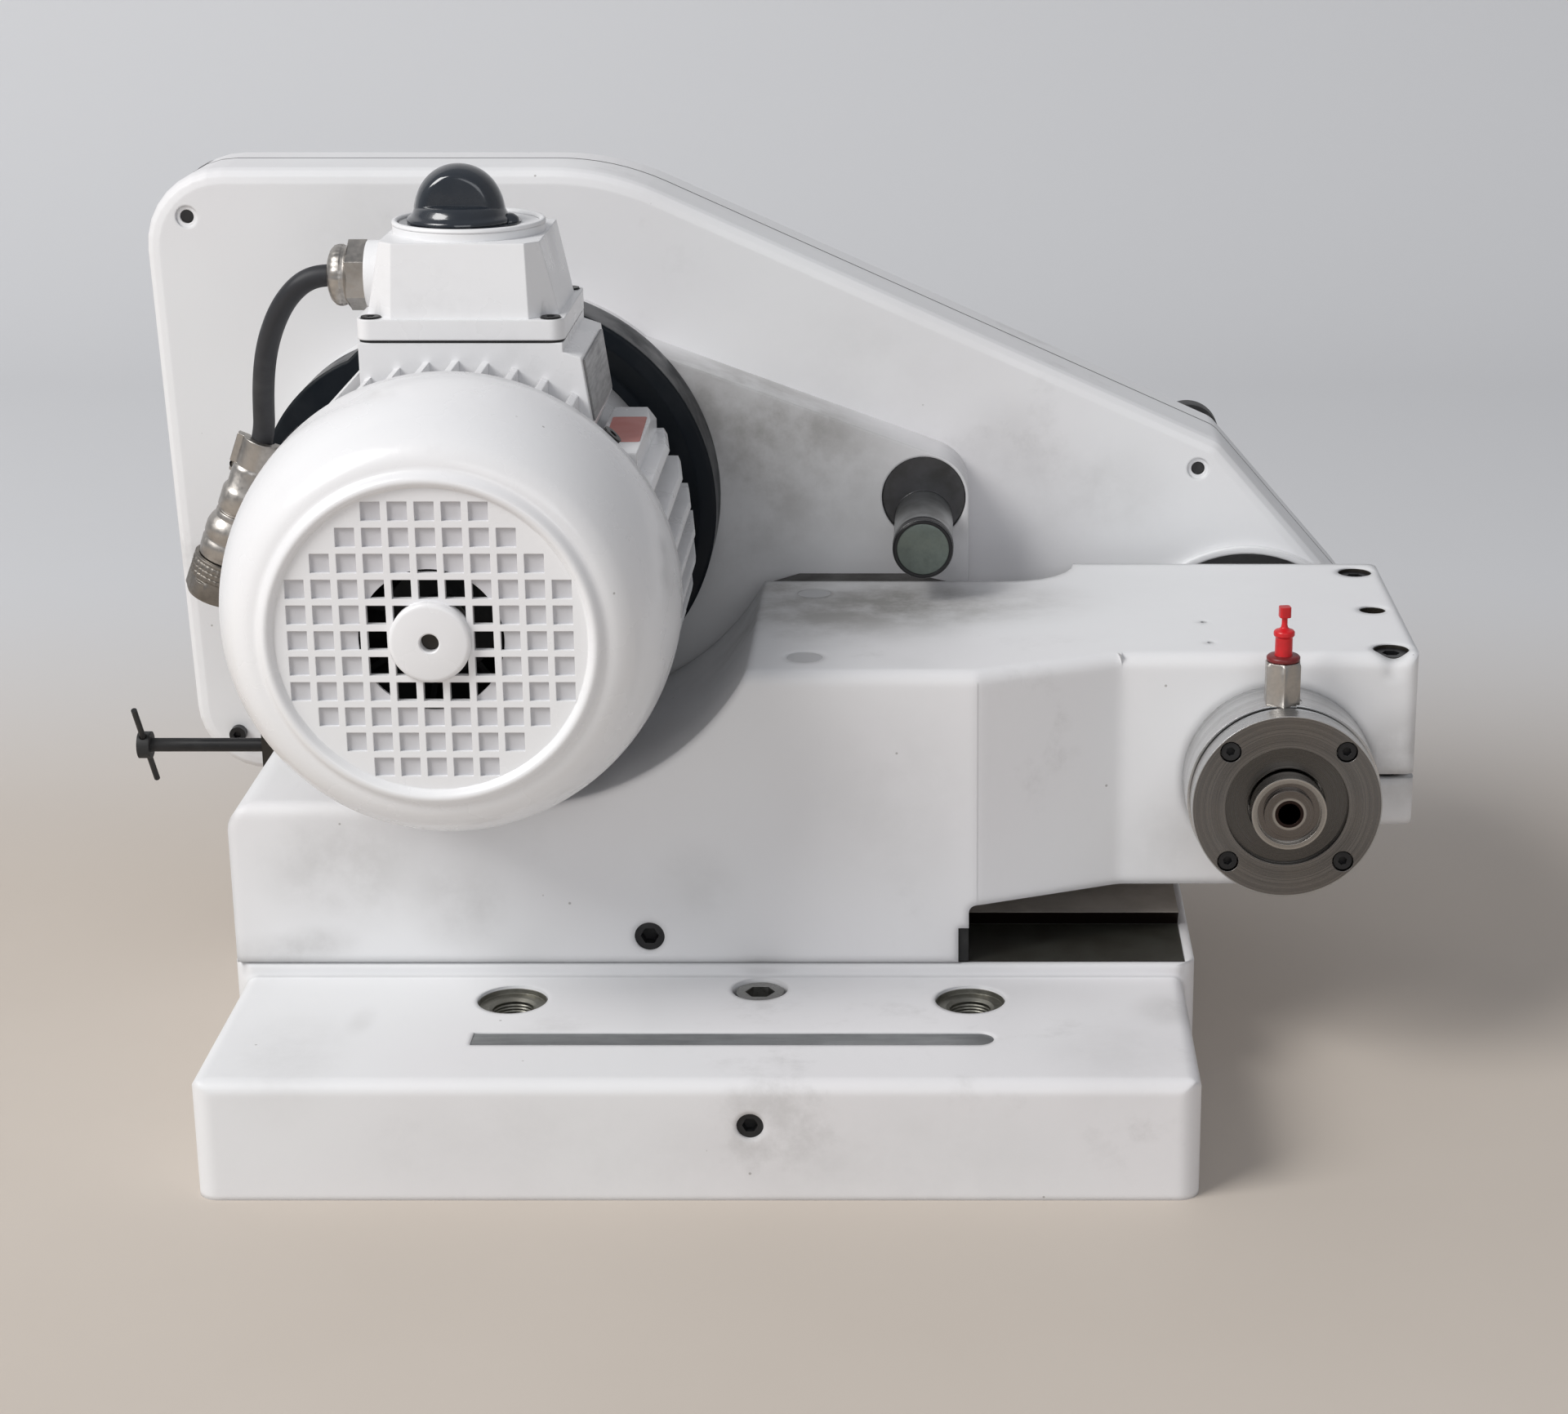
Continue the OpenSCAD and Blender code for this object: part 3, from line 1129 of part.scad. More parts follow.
// Loop around both pulleys, in X and Z: one arc on each pulley and the two straight runs
module belt_loop(grow) let (
    big = motor_pulley_d / 2 + grow, small = spindle_pulley_d / 2 + grow, f = acos((big - small) / axis_dist)
) translate([motor_x, motor_z]) rotate(axis_tilt) polygon(concat(
    [for (k = [0 : 24]) big * [cos(f + (360 - 2 * f) * k / 24), sin(f + (360 - 2 * f) * k / 24)]],
    [for (k = [0 : 16]) [axis_dist, 0] + small * [cos(-f + 2 * f * k / 16), sin(-f + 2 * f * k / 16)]]
));

module belt() color([0.1, 0.1, 0.1]) placed() along_y(belt_y, belt_y + belt_w) difference() {
    belt_loop(belt_t + joint_gap);
    belt_loop(joint_gap);
}

base_casting();
slideway();
steel_strip();
base_cap_screw();
base_set_screw();
carriage_casting();
gib();
way_wiper();
carriage_lock_screw();
clamp_screws();
jack_screw();
column_plugs();
bracket_pad();
screw_block();
spindle_barrel();
front_cover();
cover_screws();
rear_cover();
bearing_outer_rings();
bearing_inner_rings();
bearing_balls();
spacer_sleeve();
spindle_shaft();
spindle_pulley();
spindle_nut();
nipple();
red_plug();
motor_bracket();
bracket_screws();
tension_screw();
tommy_bar();
shifter();
idler_roller();
adapter_ring();
stator_housing();
end_shields();
stator_core();
rotor();
motor_bearings();
motor_pulley();
motor_fan();
fan_cover();
fan_cover_screws();
rating_plate();
terminal_gasket();
terminal_lid();
lid_screws();
switch_body();
switch_knob();
cable_gland();
cable();
connector();
coupling_nut();
guard_front();
guard_cover();
guard_screw();
knob_top();
knob_right();
knob_bottom();
belt();
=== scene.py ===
"""Looks of the grinding wheelhead: camera, lamps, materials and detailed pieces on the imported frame."""
import math

import bmesh
import bpy
from mathutils import Matrix, Vector
from mathutils.geometry import delaunay_2d_cdt


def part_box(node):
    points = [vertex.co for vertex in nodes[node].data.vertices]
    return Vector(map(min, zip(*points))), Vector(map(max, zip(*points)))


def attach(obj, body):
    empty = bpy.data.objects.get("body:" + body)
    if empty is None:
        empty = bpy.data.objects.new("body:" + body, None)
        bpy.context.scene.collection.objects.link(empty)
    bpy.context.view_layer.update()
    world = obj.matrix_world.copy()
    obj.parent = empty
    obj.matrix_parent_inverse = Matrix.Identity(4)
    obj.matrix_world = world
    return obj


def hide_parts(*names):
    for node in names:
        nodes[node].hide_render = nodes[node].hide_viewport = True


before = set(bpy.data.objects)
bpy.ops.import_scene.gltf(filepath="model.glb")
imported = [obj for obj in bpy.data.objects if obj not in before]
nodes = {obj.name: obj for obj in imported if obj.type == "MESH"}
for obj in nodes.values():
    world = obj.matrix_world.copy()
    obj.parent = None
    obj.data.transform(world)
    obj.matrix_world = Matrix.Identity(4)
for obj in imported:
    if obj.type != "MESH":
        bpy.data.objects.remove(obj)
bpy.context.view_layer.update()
scene = bpy.context.scene
link = scene.collection.objects.link
MM = 0.001
BASE_FRONT = -125
SPINDLE = (0.216, 0.1194)

# ---- Camera ----
cam = bpy.data.cameras.new("camera")
camera = bpy.data.objects.new("camera", cam)
link(camera)
camera.location = (0.0893, -1.1308, 0.5067)
camera.rotation_euler = (math.radians(72.3), 0, 0)
cam.sensor_width = 36
cam.lens = 71.25
cam.shift_x = -0.104166
cam.clip_start = 0.01
scene.camera = camera
scene.view_settings.view_transform = "Standard"


# ---- Material helpers ----
class Mat:
    """A Principled material with small helpers; coordinates are the piece's own, in metres."""

    def __init__(self, name, color, rough=0.5, metal=0.0):
        self.m = bpy.data.materials.new(name)
        self.m.use_nodes = True
        self.t = self.m.node_tree
        self.b = self.t.nodes["Principled BSDF"]
        self.b.inputs["Base Color"].default_value = (*color, 1)
        self.b.inputs["Roughness"].default_value = rough
        self.b.inputs["Metallic"].default_value = metal
        self.m.diffuse_color = (*color, 1)
        self.co = self.n("ShaderNodeTexCoord").outputs["Object"]

    def n(self, kind, props=None, **ins):
        node = self.t.nodes.new(kind)
        for k, v in (props or {}).items():
            setattr(node, k, v)
        for k, v in ins.items():
            k = k.replace("_", " ")
            socket = node.inputs[int(k)] if k.isdigit() else node.inputs[k]
            if hasattr(v, "is_output"):
                self.t.links.new(v, socket)
            else:
                socket.default_value = v
        return node

    def at(self, node, i, v):
        if hasattr(v, "is_output"):
            self.t.links.new(v, node.inputs[i])
        else:
            node.inputs[i].default_value = v

    def math(self, op, a, b=0.0):
        node = self.t.nodes.new("ShaderNodeMath")
        node.operation = op
        self.at(node, 0, a)
        self.at(node, 1, b)
        return node.outputs[0]

    def noise(self, scale, detail=3.0, rough=0.5, co=None):
        return self.n("ShaderNodeTexNoise", Vector=co or self.co, Scale=scale, Detail=detail,
                      Roughness=rough).outputs["Fac"]

    def ramp(self, v, a, b, to0=0.0, to1=1.0):
        node = self.n("ShaderNodeMapRange", {"interpolation_type": "SMOOTHSTEP"}, Value=v)
        node.inputs["From Min"].default_value = a
        node.inputs["From Max"].default_value = b
        node.inputs["To Min"].default_value = to0
        node.inputs["To Max"].default_value = to1
        return node.outputs["Result"]

    def mix(self, f, a, b):
        node = self.t.nodes.new("ShaderNodeMix")
        node.data_type = "RGBA"
        self.at(node, 0, f)
        for i, c in ((6, a), (7, b)):
            self.at(node, i, c if hasattr(c, "is_output") else (*c, 1))
        return node.outputs[2]

    def dist(self, p, stretch=(1, 1, 1)):
        node = self.n("ShaderNodeVectorMath", {"operation": "SUBTRACT"})
        self.at(node, 0, self.co)
        node.inputs[1].default_value = p
        if stretch != (1, 1, 1):
            s = self.n("ShaderNodeVectorMath", {"operation": "MULTIPLY"})
            self.at(s, 0, node.outputs[0])
            s.inputs[1].default_value = stretch
            node = s
        length = self.n("ShaderNodeVectorMath", {"operation": "LENGTH"})
        self.at(length, 0, node.outputs[0])
        return length.outputs["Value"]

    def color(self, v):
        self.at(self.b, "Base Color", v)

    def rough(self, v):
        self.at(self.b, "Roughness", v)

    def bump(self, height, strength=0.2, distance=0.0005, bevel=0.0):
        node = self.n("ShaderNodeBump", Height=height, Strength=strength, Distance=distance)
        if bevel:
            b = self.n("ShaderNodeBevel", {"samples": 6}, Radius=bevel)
            self.t.links.new(b.outputs[0], node.inputs["Normal"])
        self.t.links.new(node.outputs[0], self.b.inputs["Normal"])


def paint(name, color, rough=0.36, grime=0.5, spots=(), bevel=0.0014, pink=0.4):
    """Off-white machine paint: soft tint changes, grey smudges of dirt, darkened spots at given places (dirt,
    and in places painted shade), specks, a little orange peel.
    """
    m = Mat(name, color, rough)
    big = m.ramp(m.noise(5.0, 2), 0.3, 0.75)
    rosy = m.ramp(m.noise(8.0, 2), 0.3, 0.8)
    warm = tuple(c * k for c, k in zip(color, (0.955, 0.945, 0.945)))
    pinkish = tuple(c * k for c, k in zip(color, (0.95, 0.905, 0.915)))
    c = m.mix(m.math("MULTIPLY", big, 0.7), color, warm)
    c = m.mix(m.math("MULTIPLY", rosy, pink), c, pinkish)
    smear = m.math("MULTIPLY", m.ramp(m.noise(22.0, 8, 0.68), 0.53, 0.74), m.ramp(m.noise(7.0, 2), 0.48, 0.62))
    dirt_and_shade = m.math("MULTIPLY", smear, grime * 0.55)
    for p, r, s, stretch in spots:
        near = m.ramp(m.dist(tuple(v * MM for v in p), stretch), r * MM, r * MM * 0.15)
        rag = m.ramp(m.noise(38.0, 6, 0.65), 0.3, 0.7, 0.35, 1.0)
        dirt_and_shade = m.math("ADD", dirt_and_shade, m.math("MULTIPLY", m.math("MULTIPLY", near, rag), s))
    dirt_and_shade = m.math("MINIMUM", dirt_and_shade, 0.85)
    c = m.mix(dirt_and_shade, c, (0.27, 0.26, 0.245))
    speck = m.n("ShaderNodeTexVoronoi", {"feature": "F1"}, Vector=m.co, Scale=85.0).outputs["Distance"]
    speck = m.math("MULTIPLY", m.ramp(speck, 0.055, 0.03), m.ramp(m.noise(31.0, 2), 0.56, 0.6))
    c = m.mix(m.math("MULTIPLY", speck, 0.55), c, (0.16, 0.14, 0.12))
    m.color(c)
    m.rough(m.math("ADD", m.ramp(m.noise(30.0, 5), 0.35, 0.7, rough - 0.06, rough + 0.12),
                   m.math("MULTIPLY", dirt_and_shade, 0.25)))
    m.bump(m.noise(330.0, 2), 0.10, 0.0004, bevel)
    return m.m


def metal(name, color, rough, aniso=0.0, scale=900.0, dirt=0.3, bevel=0.0004, stretch=None):
    """Bare or plated metal with fine tool marks and dull patches."""
    m = Mat(name, color, rough, 1.0)
    co = m.co
    if stretch:
        s = m.n("ShaderNodeVectorMath", {"operation": "MULTIPLY"})
        m.at(s, 0, m.co)
        s.inputs[1].default_value = stretch
        co = s.outputs[0]
    fine = m.noise(scale, 3, 0.6, co)
    dull = m.ramp(m.noise(45.0, 6, 0.65), 0.42, 0.72)
    dark = tuple(v * 0.45 for v in color)
    c = m.mix(m.math("MULTIPLY", dull, dirt), color, dark)
    c = m.mix(m.ramp(fine, 0.35, 0.7, 0.0, 0.22), c, tuple(v * 0.7 for v in color))
    m.color(c)
    m.rough(m.ramp(fine, 0.3, 0.7, rough - 0.07, rough + 0.12))
    m.b.inputs["Anisotropic"].default_value = aniso
    m.bump(fine, 0.12, 0.0002, bevel)
    return m.m


def turned(name, color, rough, centre, pitch=0.00042, dirt=0.35, bands=()):
    """Turned steel: rings round an axis along Y through centre (x, z)."""
    m = Mat(name, color, rough, 1.0)
    s = m.n("ShaderNodeVectorMath", {"operation": "SUBTRACT"})
    m.at(s, 0, m.co)
    s.inputs[1].default_value = (centre[0], 0, centre[1])
    flat = m.n("ShaderNodeVectorMath", {"operation": "MULTIPLY"})
    m.at(flat, 0, s.outputs[0])
    flat.inputs[1].default_value = (1, 0, 1)
    length = m.n("ShaderNodeVectorMath", {"operation": "LENGTH"})
    m.at(length, 0, flat.outputs[0])
    r = length.outputs["Value"]
    y = m.n("ShaderNodeSeparateXYZ")
    m.at(y, 0, m.co)
    along = m.math("ADD", r, y.outputs["Y"])
    rings = m.n("ShaderNodeTexNoise", {"noise_dimensions": "1D"}, Scale=1.0 / pitch, Detail=4.0, W=along)
    wide = m.n("ShaderNodeTexNoise", {"noise_dimensions": "1D"}, Scale=260.0, Detail=2.0, W=along)
    dull = m.ramp(m.noise(55.0, 6, 0.6), 0.4, 0.75)
    dark = tuple(v * 0.42 for v in color)
    c = m.mix(m.ramp(rings.outputs["Fac"], 0.3, 0.7, 0.0, 0.45), color, dark)
    c = m.mix(m.ramp(wide.outputs["Fac"], 0.4, 0.65, 0.0, 0.3), c, dark)
    c = m.mix(m.math("MULTIPLY", dull, dirt), c, (0.2, 0.18, 0.16))
    for r0, r1, tint in bands:
        inside = m.math("MULTIPLY", m.ramp(r, r0 * MM, (r0 + 0.3) * MM), m.ramp(r, (r1 + 0.3) * MM, r1 * MM))
        c = m.mix(inside, c, tint)
    m.color(c)
    m.rough(m.ramp(rings.outputs["Fac"], 0.3, 0.7, rough - 0.06, rough + 0.12))
    m.b.inputs["Anisotropic"].default_value = 0.75
    tangent = m.n("ShaderNodeTangent", {"direction_type": "RADIAL", "axis": "Y"})
    m.t.links.new(tangent.outputs[0], m.b.inputs["Tangent"])
    m.bump(rings.outputs["Fac"], 0.16, 0.0001, 0.0004)
    return m.m


def dark_gloss(name, color, rough, wear=0.25, bevel=0.0006, coat=0.0, dust=0.25, spec=0.35):
    """Black or dark painted, blackened or moulded surface with dust and light wear."""
    m = Mat(name, color, rough)
    dusty = m.ramp(m.noise(26.0, 7, 0.66), 0.46, 0.74)
    fine = m.noise(700.0, 3)
    c = m.mix(m.math("MULTIPLY", dusty, dust), color, (0.17, 0.17, 0.165))
    c = m.mix(m.ramp(m.noise(240.0, 4, 0.7), 0.66, 0.8, 0.0, wear), c, (0.26, 0.25, 0.24))
    m.color(c)
    m.rough(m.math("ADD", m.ramp(m.noise(60.0, 5), 0.35, 0.7, rough - 0.05, rough + 0.12),
                   m.math("MULTIPLY", dusty, 0.18)))
    m.b.inputs["Coat Weight"].default_value = coat
    m.b.inputs["Specular IOR Level"].default_value = spec
    m.bump(fine, 0.06, 0.0002, bevel)
    return m.m


# ---- Materials; a spot is (place in mm, radius in mm, strength, stretch) ----
SIDE = (1, 1, 1)
PAINT = (0.79, 0.795, 0.805)
paint_base = paint("paint_base", PAINT, 0.4, 0.5, [
    ((-150, -100, 46), 30, 0.16, (1, 0.6, 1)), ((-128, -70, 46), 7, 0.16, (1, 0.4, 1)),
    ((-60, -125, 20), 46, 0.10, (0.5, 1, 1.4)), ((60, -125, 14), 60, 0.12, (0.5, 1, 1.5)),
    ((150, -100, 46), 34, 0.16, (1, 0.8, 1)), ((-175, -30, 30), 24, 0.2, SIDE),
    ((172, -60, 44), 20, 0.25, SIDE),
], 0.0032)
# Carriage spots: those on the top at z 168 mm are partly smudges and partly painted shade under the motor; the
# one on the head's front face at x 266 mm is a painted shadow of the spindle cover.
paint_carriage = paint("paint_carriage", PAINT, 0.38, 0.6, [
    ((44, 62, 168), 66, 0.8, (0.8, 1.0, 1)), ((100, 70, 168), 44, 0.45, (0.7, 1, 1)),
    ((22, 90, 168), 16, 0.5, SIDE), ((-140, -28, 92), 34, 0.34, (0.8, 1, 1)), ((-96, -28, 76), 26, 0.26, SIDE),
    ((70, -26, 120), 46, 0.12, (1, 1, 0.8)), ((-6, -28, 84), 22, 0.14, SIDE), ((176, -5, 92), 30, 0.18, SIDE),
    ((266, -5, 124), 30, 0.5, SIDE), ((-150, -28, 60), 10, 0.3, (0.5, 1, 1)),
    ((-170, -28, 56), 10, 0.35, (0.4, 1, 1)),
], 0.0055)
# Bracket spots: partly dirt, partly a painted shadow of the motor on the bracket's face.
paint_bracket = paint("paint_bracket", tuple(c * 0.92 for c in PAINT), 0.42, 1.1, [
    ((10, 113, 240), 56, 0.8, (0.8, 1, 1)), ((40, 113, 205), 42, 0.34, (0.7, 1, 1)),
    ((0, 113, 180), 44, 0.3, SIDE), ((20, 113, 130), 34, 0.35, SIDE), ((95, 113, 190), 12, 0.3, SIDE),
])
# Guard spots at x 115 and 150 mm: a painted shadow of the bracket on the guard.
paint_guard = paint("paint_guard", PAINT, 0.38, 0.45, [
    ((60, 141, 250), 40, 0.12, (0.6, 1, 1)), ((150, 141, 195), 34, 0.2, (0.7, 1, 1)),
    ((115, 141, 215), 30, 0.18, SIDE), ((-150, 141, 300), 46, 0.1, SIDE),
])
paint_motor = paint("paint_motor", (0.82, 0.825, 0.835), 0.3, 0.22, [
    ((-55, 20, 262), 16, 0.16, SIDE), ((-90, 5, 300), 26, 0.08, SIDE),
], 0.0009, 0.25)
# The broad spot at the bottom of the fan cover (z 122 mm) is painted shade under the cover.
paint_fan = paint("paint_fan", (0.83, 0.835, 0.845), 0.24, 0.2, [
    ((-60, -90, 250), 20, 0.10, SIDE), ((-150, -80, 160), 30, 0.1, SIDE), ((-40, -70, 150), 26, 0.14, SIDE),
    ((-95, -70, 122), 40, 0.26, (0.7, 1, 1)),
], 0.0004, 0.35)
# Pocket paint: the fan cover's paint made darker, as painted shade on the floors of the grille's pockets.
pocket_paint = paint("paint_pocket", (0.58, 0.58, 0.60), 0.45, 0.5, [], 0.0002)
plug_paint = paint("paint_plug", tuple(c * 0.66 for c in PAINT), 0.55, 1.2, [], 0.0003)
spindle = turned("turned_spindle", (0.72, 0.72, 0.72), 0.24, SPINDLE)
# Cover bands: the dark centre is painted shade in its recess, and the light band at 35 to 36 mm is a painted
# highlight on its rim.
cover_face = turned("turned_cover", (0.20, 0.192, 0.186), 0.27, SPINDLE, 0.0005, 0.3,
                    [(0, 22.9, (0.10, 0.095, 0.09)), (35.0, 36, (0.5, 0.5, 0.5))])
# Nose bands: the very dark centre is painted shade in the bore.
spindle_bright = turned("turned_bright", (0.42, 0.40, 0.375), 0.2, SPINDLE, 0.0006, 0.25,
                        [(0, 5.2, (0.03, 0.02, 0.018)), (6.2, 11.4, (0.15, 0.135, 0.125))])
motor_steel = turned("turned_motor", (0.5, 0.5, 0.49), 0.35, (-0.089, 0.2028))
bearing = metal("bearing_steel", (0.62, 0.62, 0.63), 0.18)
alloy = metal("pulley_alloy", (0.6, 0.61, 0.62), 0.38)
nickel = metal("warm_nickel", (0.48, 0.455, 0.425), 0.36, 0.2, 500.0, 0.5)
nickel_dark = metal("dull_nickel", (0.27, 0.25, 0.225), 0.4, 0.2, 500.0, 0.6)
strip_steel = metal("strip_steel", (0.36, 0.37, 0.375), 0.42, 0.3, 420.0, 0.35, stretch=(0.12, 1, 1))
cap_steel = metal("cap_screw_steel", (0.34, 0.335, 0.32), 0.34, 0.0, 600.0, 0.7)
plate_steel = metal("bare_plate", (0.33, 0.33, 0.335), 0.42, 0.4, 700.0, 0.5, stretch=(1, 0.1, 1))
copper = metal("winding_copper", (0.55, 0.28, 0.14), 0.45)
oily = dark_gloss("oily_iron", (0.022, 0.019, 0.015), 0.3, 0.1, 0.0003, 0.0, 0.1)
black_oxide = dark_gloss("black_oxide", (0.010, 0.010, 0.011), 0.36, 0.2, 0.0003, 0.0, 0.1)
ring_black = dark_gloss("ring_black", (0.006, 0.009, 0.013), 0.33, 0.03, 0.0026, 0.0, 0.04, 0.2)
knob_black = dark_gloss("knob_black", (0.014, 0.019, 0.027), 0.14, 0.04, 0.0004, 0.7, 0.06, 0.5)
plastic = dark_gloss("black_plastic", (0.02, 0.02, 0.021), 0.45, 0.1)
rubber = dark_gloss("rubber", (0.016, 0.016, 0.016), 0.6, 0.1, 0.0003)
sheath = dark_gloss("cable_sheath", (0.026, 0.027, 0.031), 0.42, 0.1, 0.0, 0.0, 0.18)
bush_steel = metal("bush_steel", (0.25, 0.245, 0.215), 0.42, 0.2, 500.0, 0.6)
rod_face = metal("rod_face", (0.17, 0.20, 0.18), 0.36, 0.0, 500.0, 0.5)
red = Mat("red_plastic", (0.62, 0.012, 0.018), 0.33)
red.color(red.mix(red.ramp(red.noise(160.0, 5), 0.4, 0.7, 0.0, 0.5), (0.62, 0.012, 0.018), (0.38, 0.01, 0.014)))
red.b.inputs["Subsurface Weight"].default_value = 0.05
red.bump(red.noise(500.0, 3), 0.08, 0.0003)
patch = Mat("faded_red_patch", (0.45, 0.09, 0.075), 0.5)
patch.color(patch.mix(patch.ramp(patch.noise(60.0, 4, 0.5), 0.3, 0.7), (0.47, 0.13, 0.11), (0.54, 0.20, 0.175)))
patch.bump(patch.noise(300.0, 3), 0.15, 0.0002)

# the slideway: worn bright top, near-black painted shade on the undercut's sides, oily lower land
way = Mat("way_iron", (0.03, 0.028, 0.023), 0.3)
place = way.n("ShaderNodeSeparateXYZ")
way.at(place, 0, way.co)
way_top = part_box("slideway")[1].z
land = way.ramp(place.outputs["Z"], way_top - 0.0004, way_top - 0.0001)
facing = way.n("ShaderNodeSeparateXYZ")
way.at(facing, 0, way.n("ShaderNodeNewGeometry").outputs["Normal"])
level = way.ramp(facing.outputs["Z"], 0.5, 0.9)
streak = way.ramp(way.noise(60.0, 6, 0.65), 0.35, 0.7)
low_tone = way.mix(streak, (0.040, 0.040, 0.034), (0.026, 0.024, 0.019))
# Faces that don't face up, the undercut's sides, get near-black painted shade.
tone = way.mix(level, (0.008, 0.005, 0.004), low_tone)
way.color(way.mix(land, tone, way.mix(streak, (0.40, 0.365, 0.33), (0.31, 0.28, 0.25))))
way.b.inputs["Specular IOR Level"].default_value = 0.3
way.bump(way.noise(500.0, 3), 0.1, 0.0002, 0.0003)

# the shifter: lit steel rod in front, and the same steel painted dark as shade on the disc behind
rod_steel = Mat("rod_steel", (0.40, 0.41, 0.405), 0.36, 1.0)
deep = rod_steel.n("ShaderNodeSeparateXYZ")
rod_steel.at(deep, 0, rod_steel.co)
ROD_LENGTH = 0.0478
disc_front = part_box("shifter")[0].y + ROD_LENGTH
back = rod_steel.ramp(deep.outputs["Y"], disc_front, disc_front + 0.0006)
streak = rod_steel.ramp(rod_steel.noise(70.0, 6, 0.65), 0.35, 0.7)
rod_steel.color(rod_steel.mix(back, rod_steel.mix(streak, (0.42, 0.43, 0.43), (0.27, 0.27, 0.265)),
                              rod_steel.mix(streak, (0.10, 0.10, 0.105), (0.07, 0.07, 0.07))))
rod_steel.bump(rod_steel.noise(500.0, 3), 0.1, 0.0002, 0.0006)

# ---- Materials of the CAD nodes ----
LOOK = {
    paint_base: ["base_casting"],
    paint_carriage: ["carriage_casting"],
    paint_bracket: ["motor_bracket"],
    paint_guard: ["guard_front", "guard_cover"],
    paint_motor: ["stator_housing", "end_shields", "terminal_lid"],
    paint_fan: ["fan_cover"],
    plug_paint: ["column_plugs"],
    spindle: ["spindle_barrel", "rear_cover", "spacer_sleeve"],
    cover_face: ["front_cover"],
    spindle_bright: ["spindle_shaft"],
    motor_steel: ["rotor"],
    bearing: ["bearing_outer_rings", "bearing_inner_rings", "bearing_balls", "motor_bearings"],
    alloy: ["spindle_pulley", "motor_pulley", "idler_roller"],
    nickel: ["nipple", "cable_gland", "connector"],
    nickel_dark: ["coupling_nut"],
    strip_steel: ["steel_strip"],
    cap_steel: ["base_cap_screw"],
    plate_steel: ["rating_plate"],
    copper: ["stator_core"],
    way.m: ["slideway"],
    oily: ["gib", "bracket_pad", "screw_block"],
    black_oxide: ["base_set_screw", "carriage_lock_screw", "clamp_screws", "jack_screw", "cover_screws",
                  "spindle_nut", "bracket_screws", "tension_screw", "tommy_bar", "fan_cover_screws",
                  "lid_screws", "guard_screw"],
    ring_black: ["adapter_ring"],
    knob_black: ["switch_knob"],
    plastic: ["motor_fan", "switch_body", "knob_top", "knob_right", "knob_bottom"],
    rubber: ["way_wiper", "terminal_gasket", "belt"],
    sheath: ["cable"],
    rod_steel.m: ["shifter"],
    red.m: ["red_plug"],
}
for material, names in LOOK.items():
    for name in names:
        mesh = nodes[name].data
        mesh.materials.clear()
        mesh.materials.append(material)
        for p in mesh.polygons:
            p.use_smooth = True
        mesh.set_sharp_from_angle(angle=math.radians(28))

# ---- Piece helpers ----
def piece(name, bm, material, body, sharp=35, bevel=0.0, replaces=()):
    """Makes the mesh an object on a body of the frame, in a colour slot, in place of the nodes it replaces."""
    bmesh.ops.recalc_face_normals(bm, faces=bm.faces)
    mesh = bpy.data.meshes.new(name)
    bm.to_mesh(mesh)
    bm.free()
    for p in mesh.polygons:
        p.use_smooth = True
    mesh.set_sharp_from_angle(angle=math.radians(sharp))
    mesh.materials.append(material)
    o = bpy.data.objects.new(name, mesh)
    link(o)
    if bevel:
        mod = o.modifiers.new("bevel", "BEVEL")
        mod.width = bevel
        mod.segments = 3
        mod.limit_method = "ANGLE"
        mod.angle_limit = math.radians(35)
        mod.harden_normals = True
    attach(o, body)
    if replaces:
        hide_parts(*replaces)
    return o


def along_y(x, z):
    """Local Z becomes +Y through x, z, in millimetres; its zero is the front of the base."""
    return Matrix.Translation((x * MM, BASE_FRONT * MM, z * MM)) @ Matrix.Rotation(math.radians(-90), 4, "X")


def lathe(bm, prof, place, seg=96, closed=False, wave=None):
    """Adds a turned shape: prof is (radius, height) in millimetres along local Z; wave changes the radius."""
    rings = []
    for r, h in prof:
        if r < 1e-6:
            rings.append([bm.verts.new(place @ Vector((0, 0, h * MM)))])
            continue
        ring = []
        for k in range(seg):
            a = 2 * math.pi * k / seg
            q = r + (wave(r, h, a) if wave else 0)
            ring.append(bm.verts.new(place @ Vector((q * MM * math.cos(a), q * MM * math.sin(a), h * MM))))
        rings.append(ring)
    pairs = list(zip(rings, rings[1:])) + ([(rings[-1], rings[0])] if closed else [])
    for a, b in pairs:
        for k in range(seg):
            j = (k + 1) % seg
            if len(a) == 1 and len(b) == 1:
                continue
            if len(a) == 1:
                bm.faces.new((a[0], b[k], b[j]))
            elif len(b) == 1:
                bm.faces.new((a[k], b[0], a[j]))
            else:
                bm.faces.new((a[k], b[k], b[j], a[j]))


def prism(bm, pts, h0, h1, place):
    """Adds a prism of the outline pts, in millimetres, between two heights along local Z."""
    low = [bm.verts.new(place @ Vector((x * MM, y * MM, h0 * MM))) for x, y in pts]
    top = [bm.verts.new(place @ Vector((x * MM, y * MM, h1 * MM))) for x, y in pts]
    bm.faces.new(low[::-1])
    bm.faces.new(top)
    for k in range(len(pts)):
        j = (k + 1) % len(pts)
        bm.faces.new((low[k], low[j], top[j], top[k]))


def ngon(n, r, turn=0.0):
    """Outline of a regular polygon with n corners at radius r."""
    angles = [2 * math.pi * k / n + turn for k in range(n)]
    return [(r * math.cos(a), r * math.sin(a)) for a in angles]


def rounded_box(w, d, r, n=6):
    """Outline of a rectangle w by d with corners of radius r."""
    pts = []
    for cx, cy, a0 in ((w / 2 - r, d / 2 - r, 0), (-w / 2 + r, d / 2 - r, 90),
                       (-w / 2 + r, -d / 2 + r, 180), (w / 2 - r, -d / 2 + r, 270)):
        for k in range(n + 1):
            a = math.radians(a0 + 90 * k / n)
            pts.append((cx + r * math.cos(a), cy + r * math.sin(a)))
    return pts


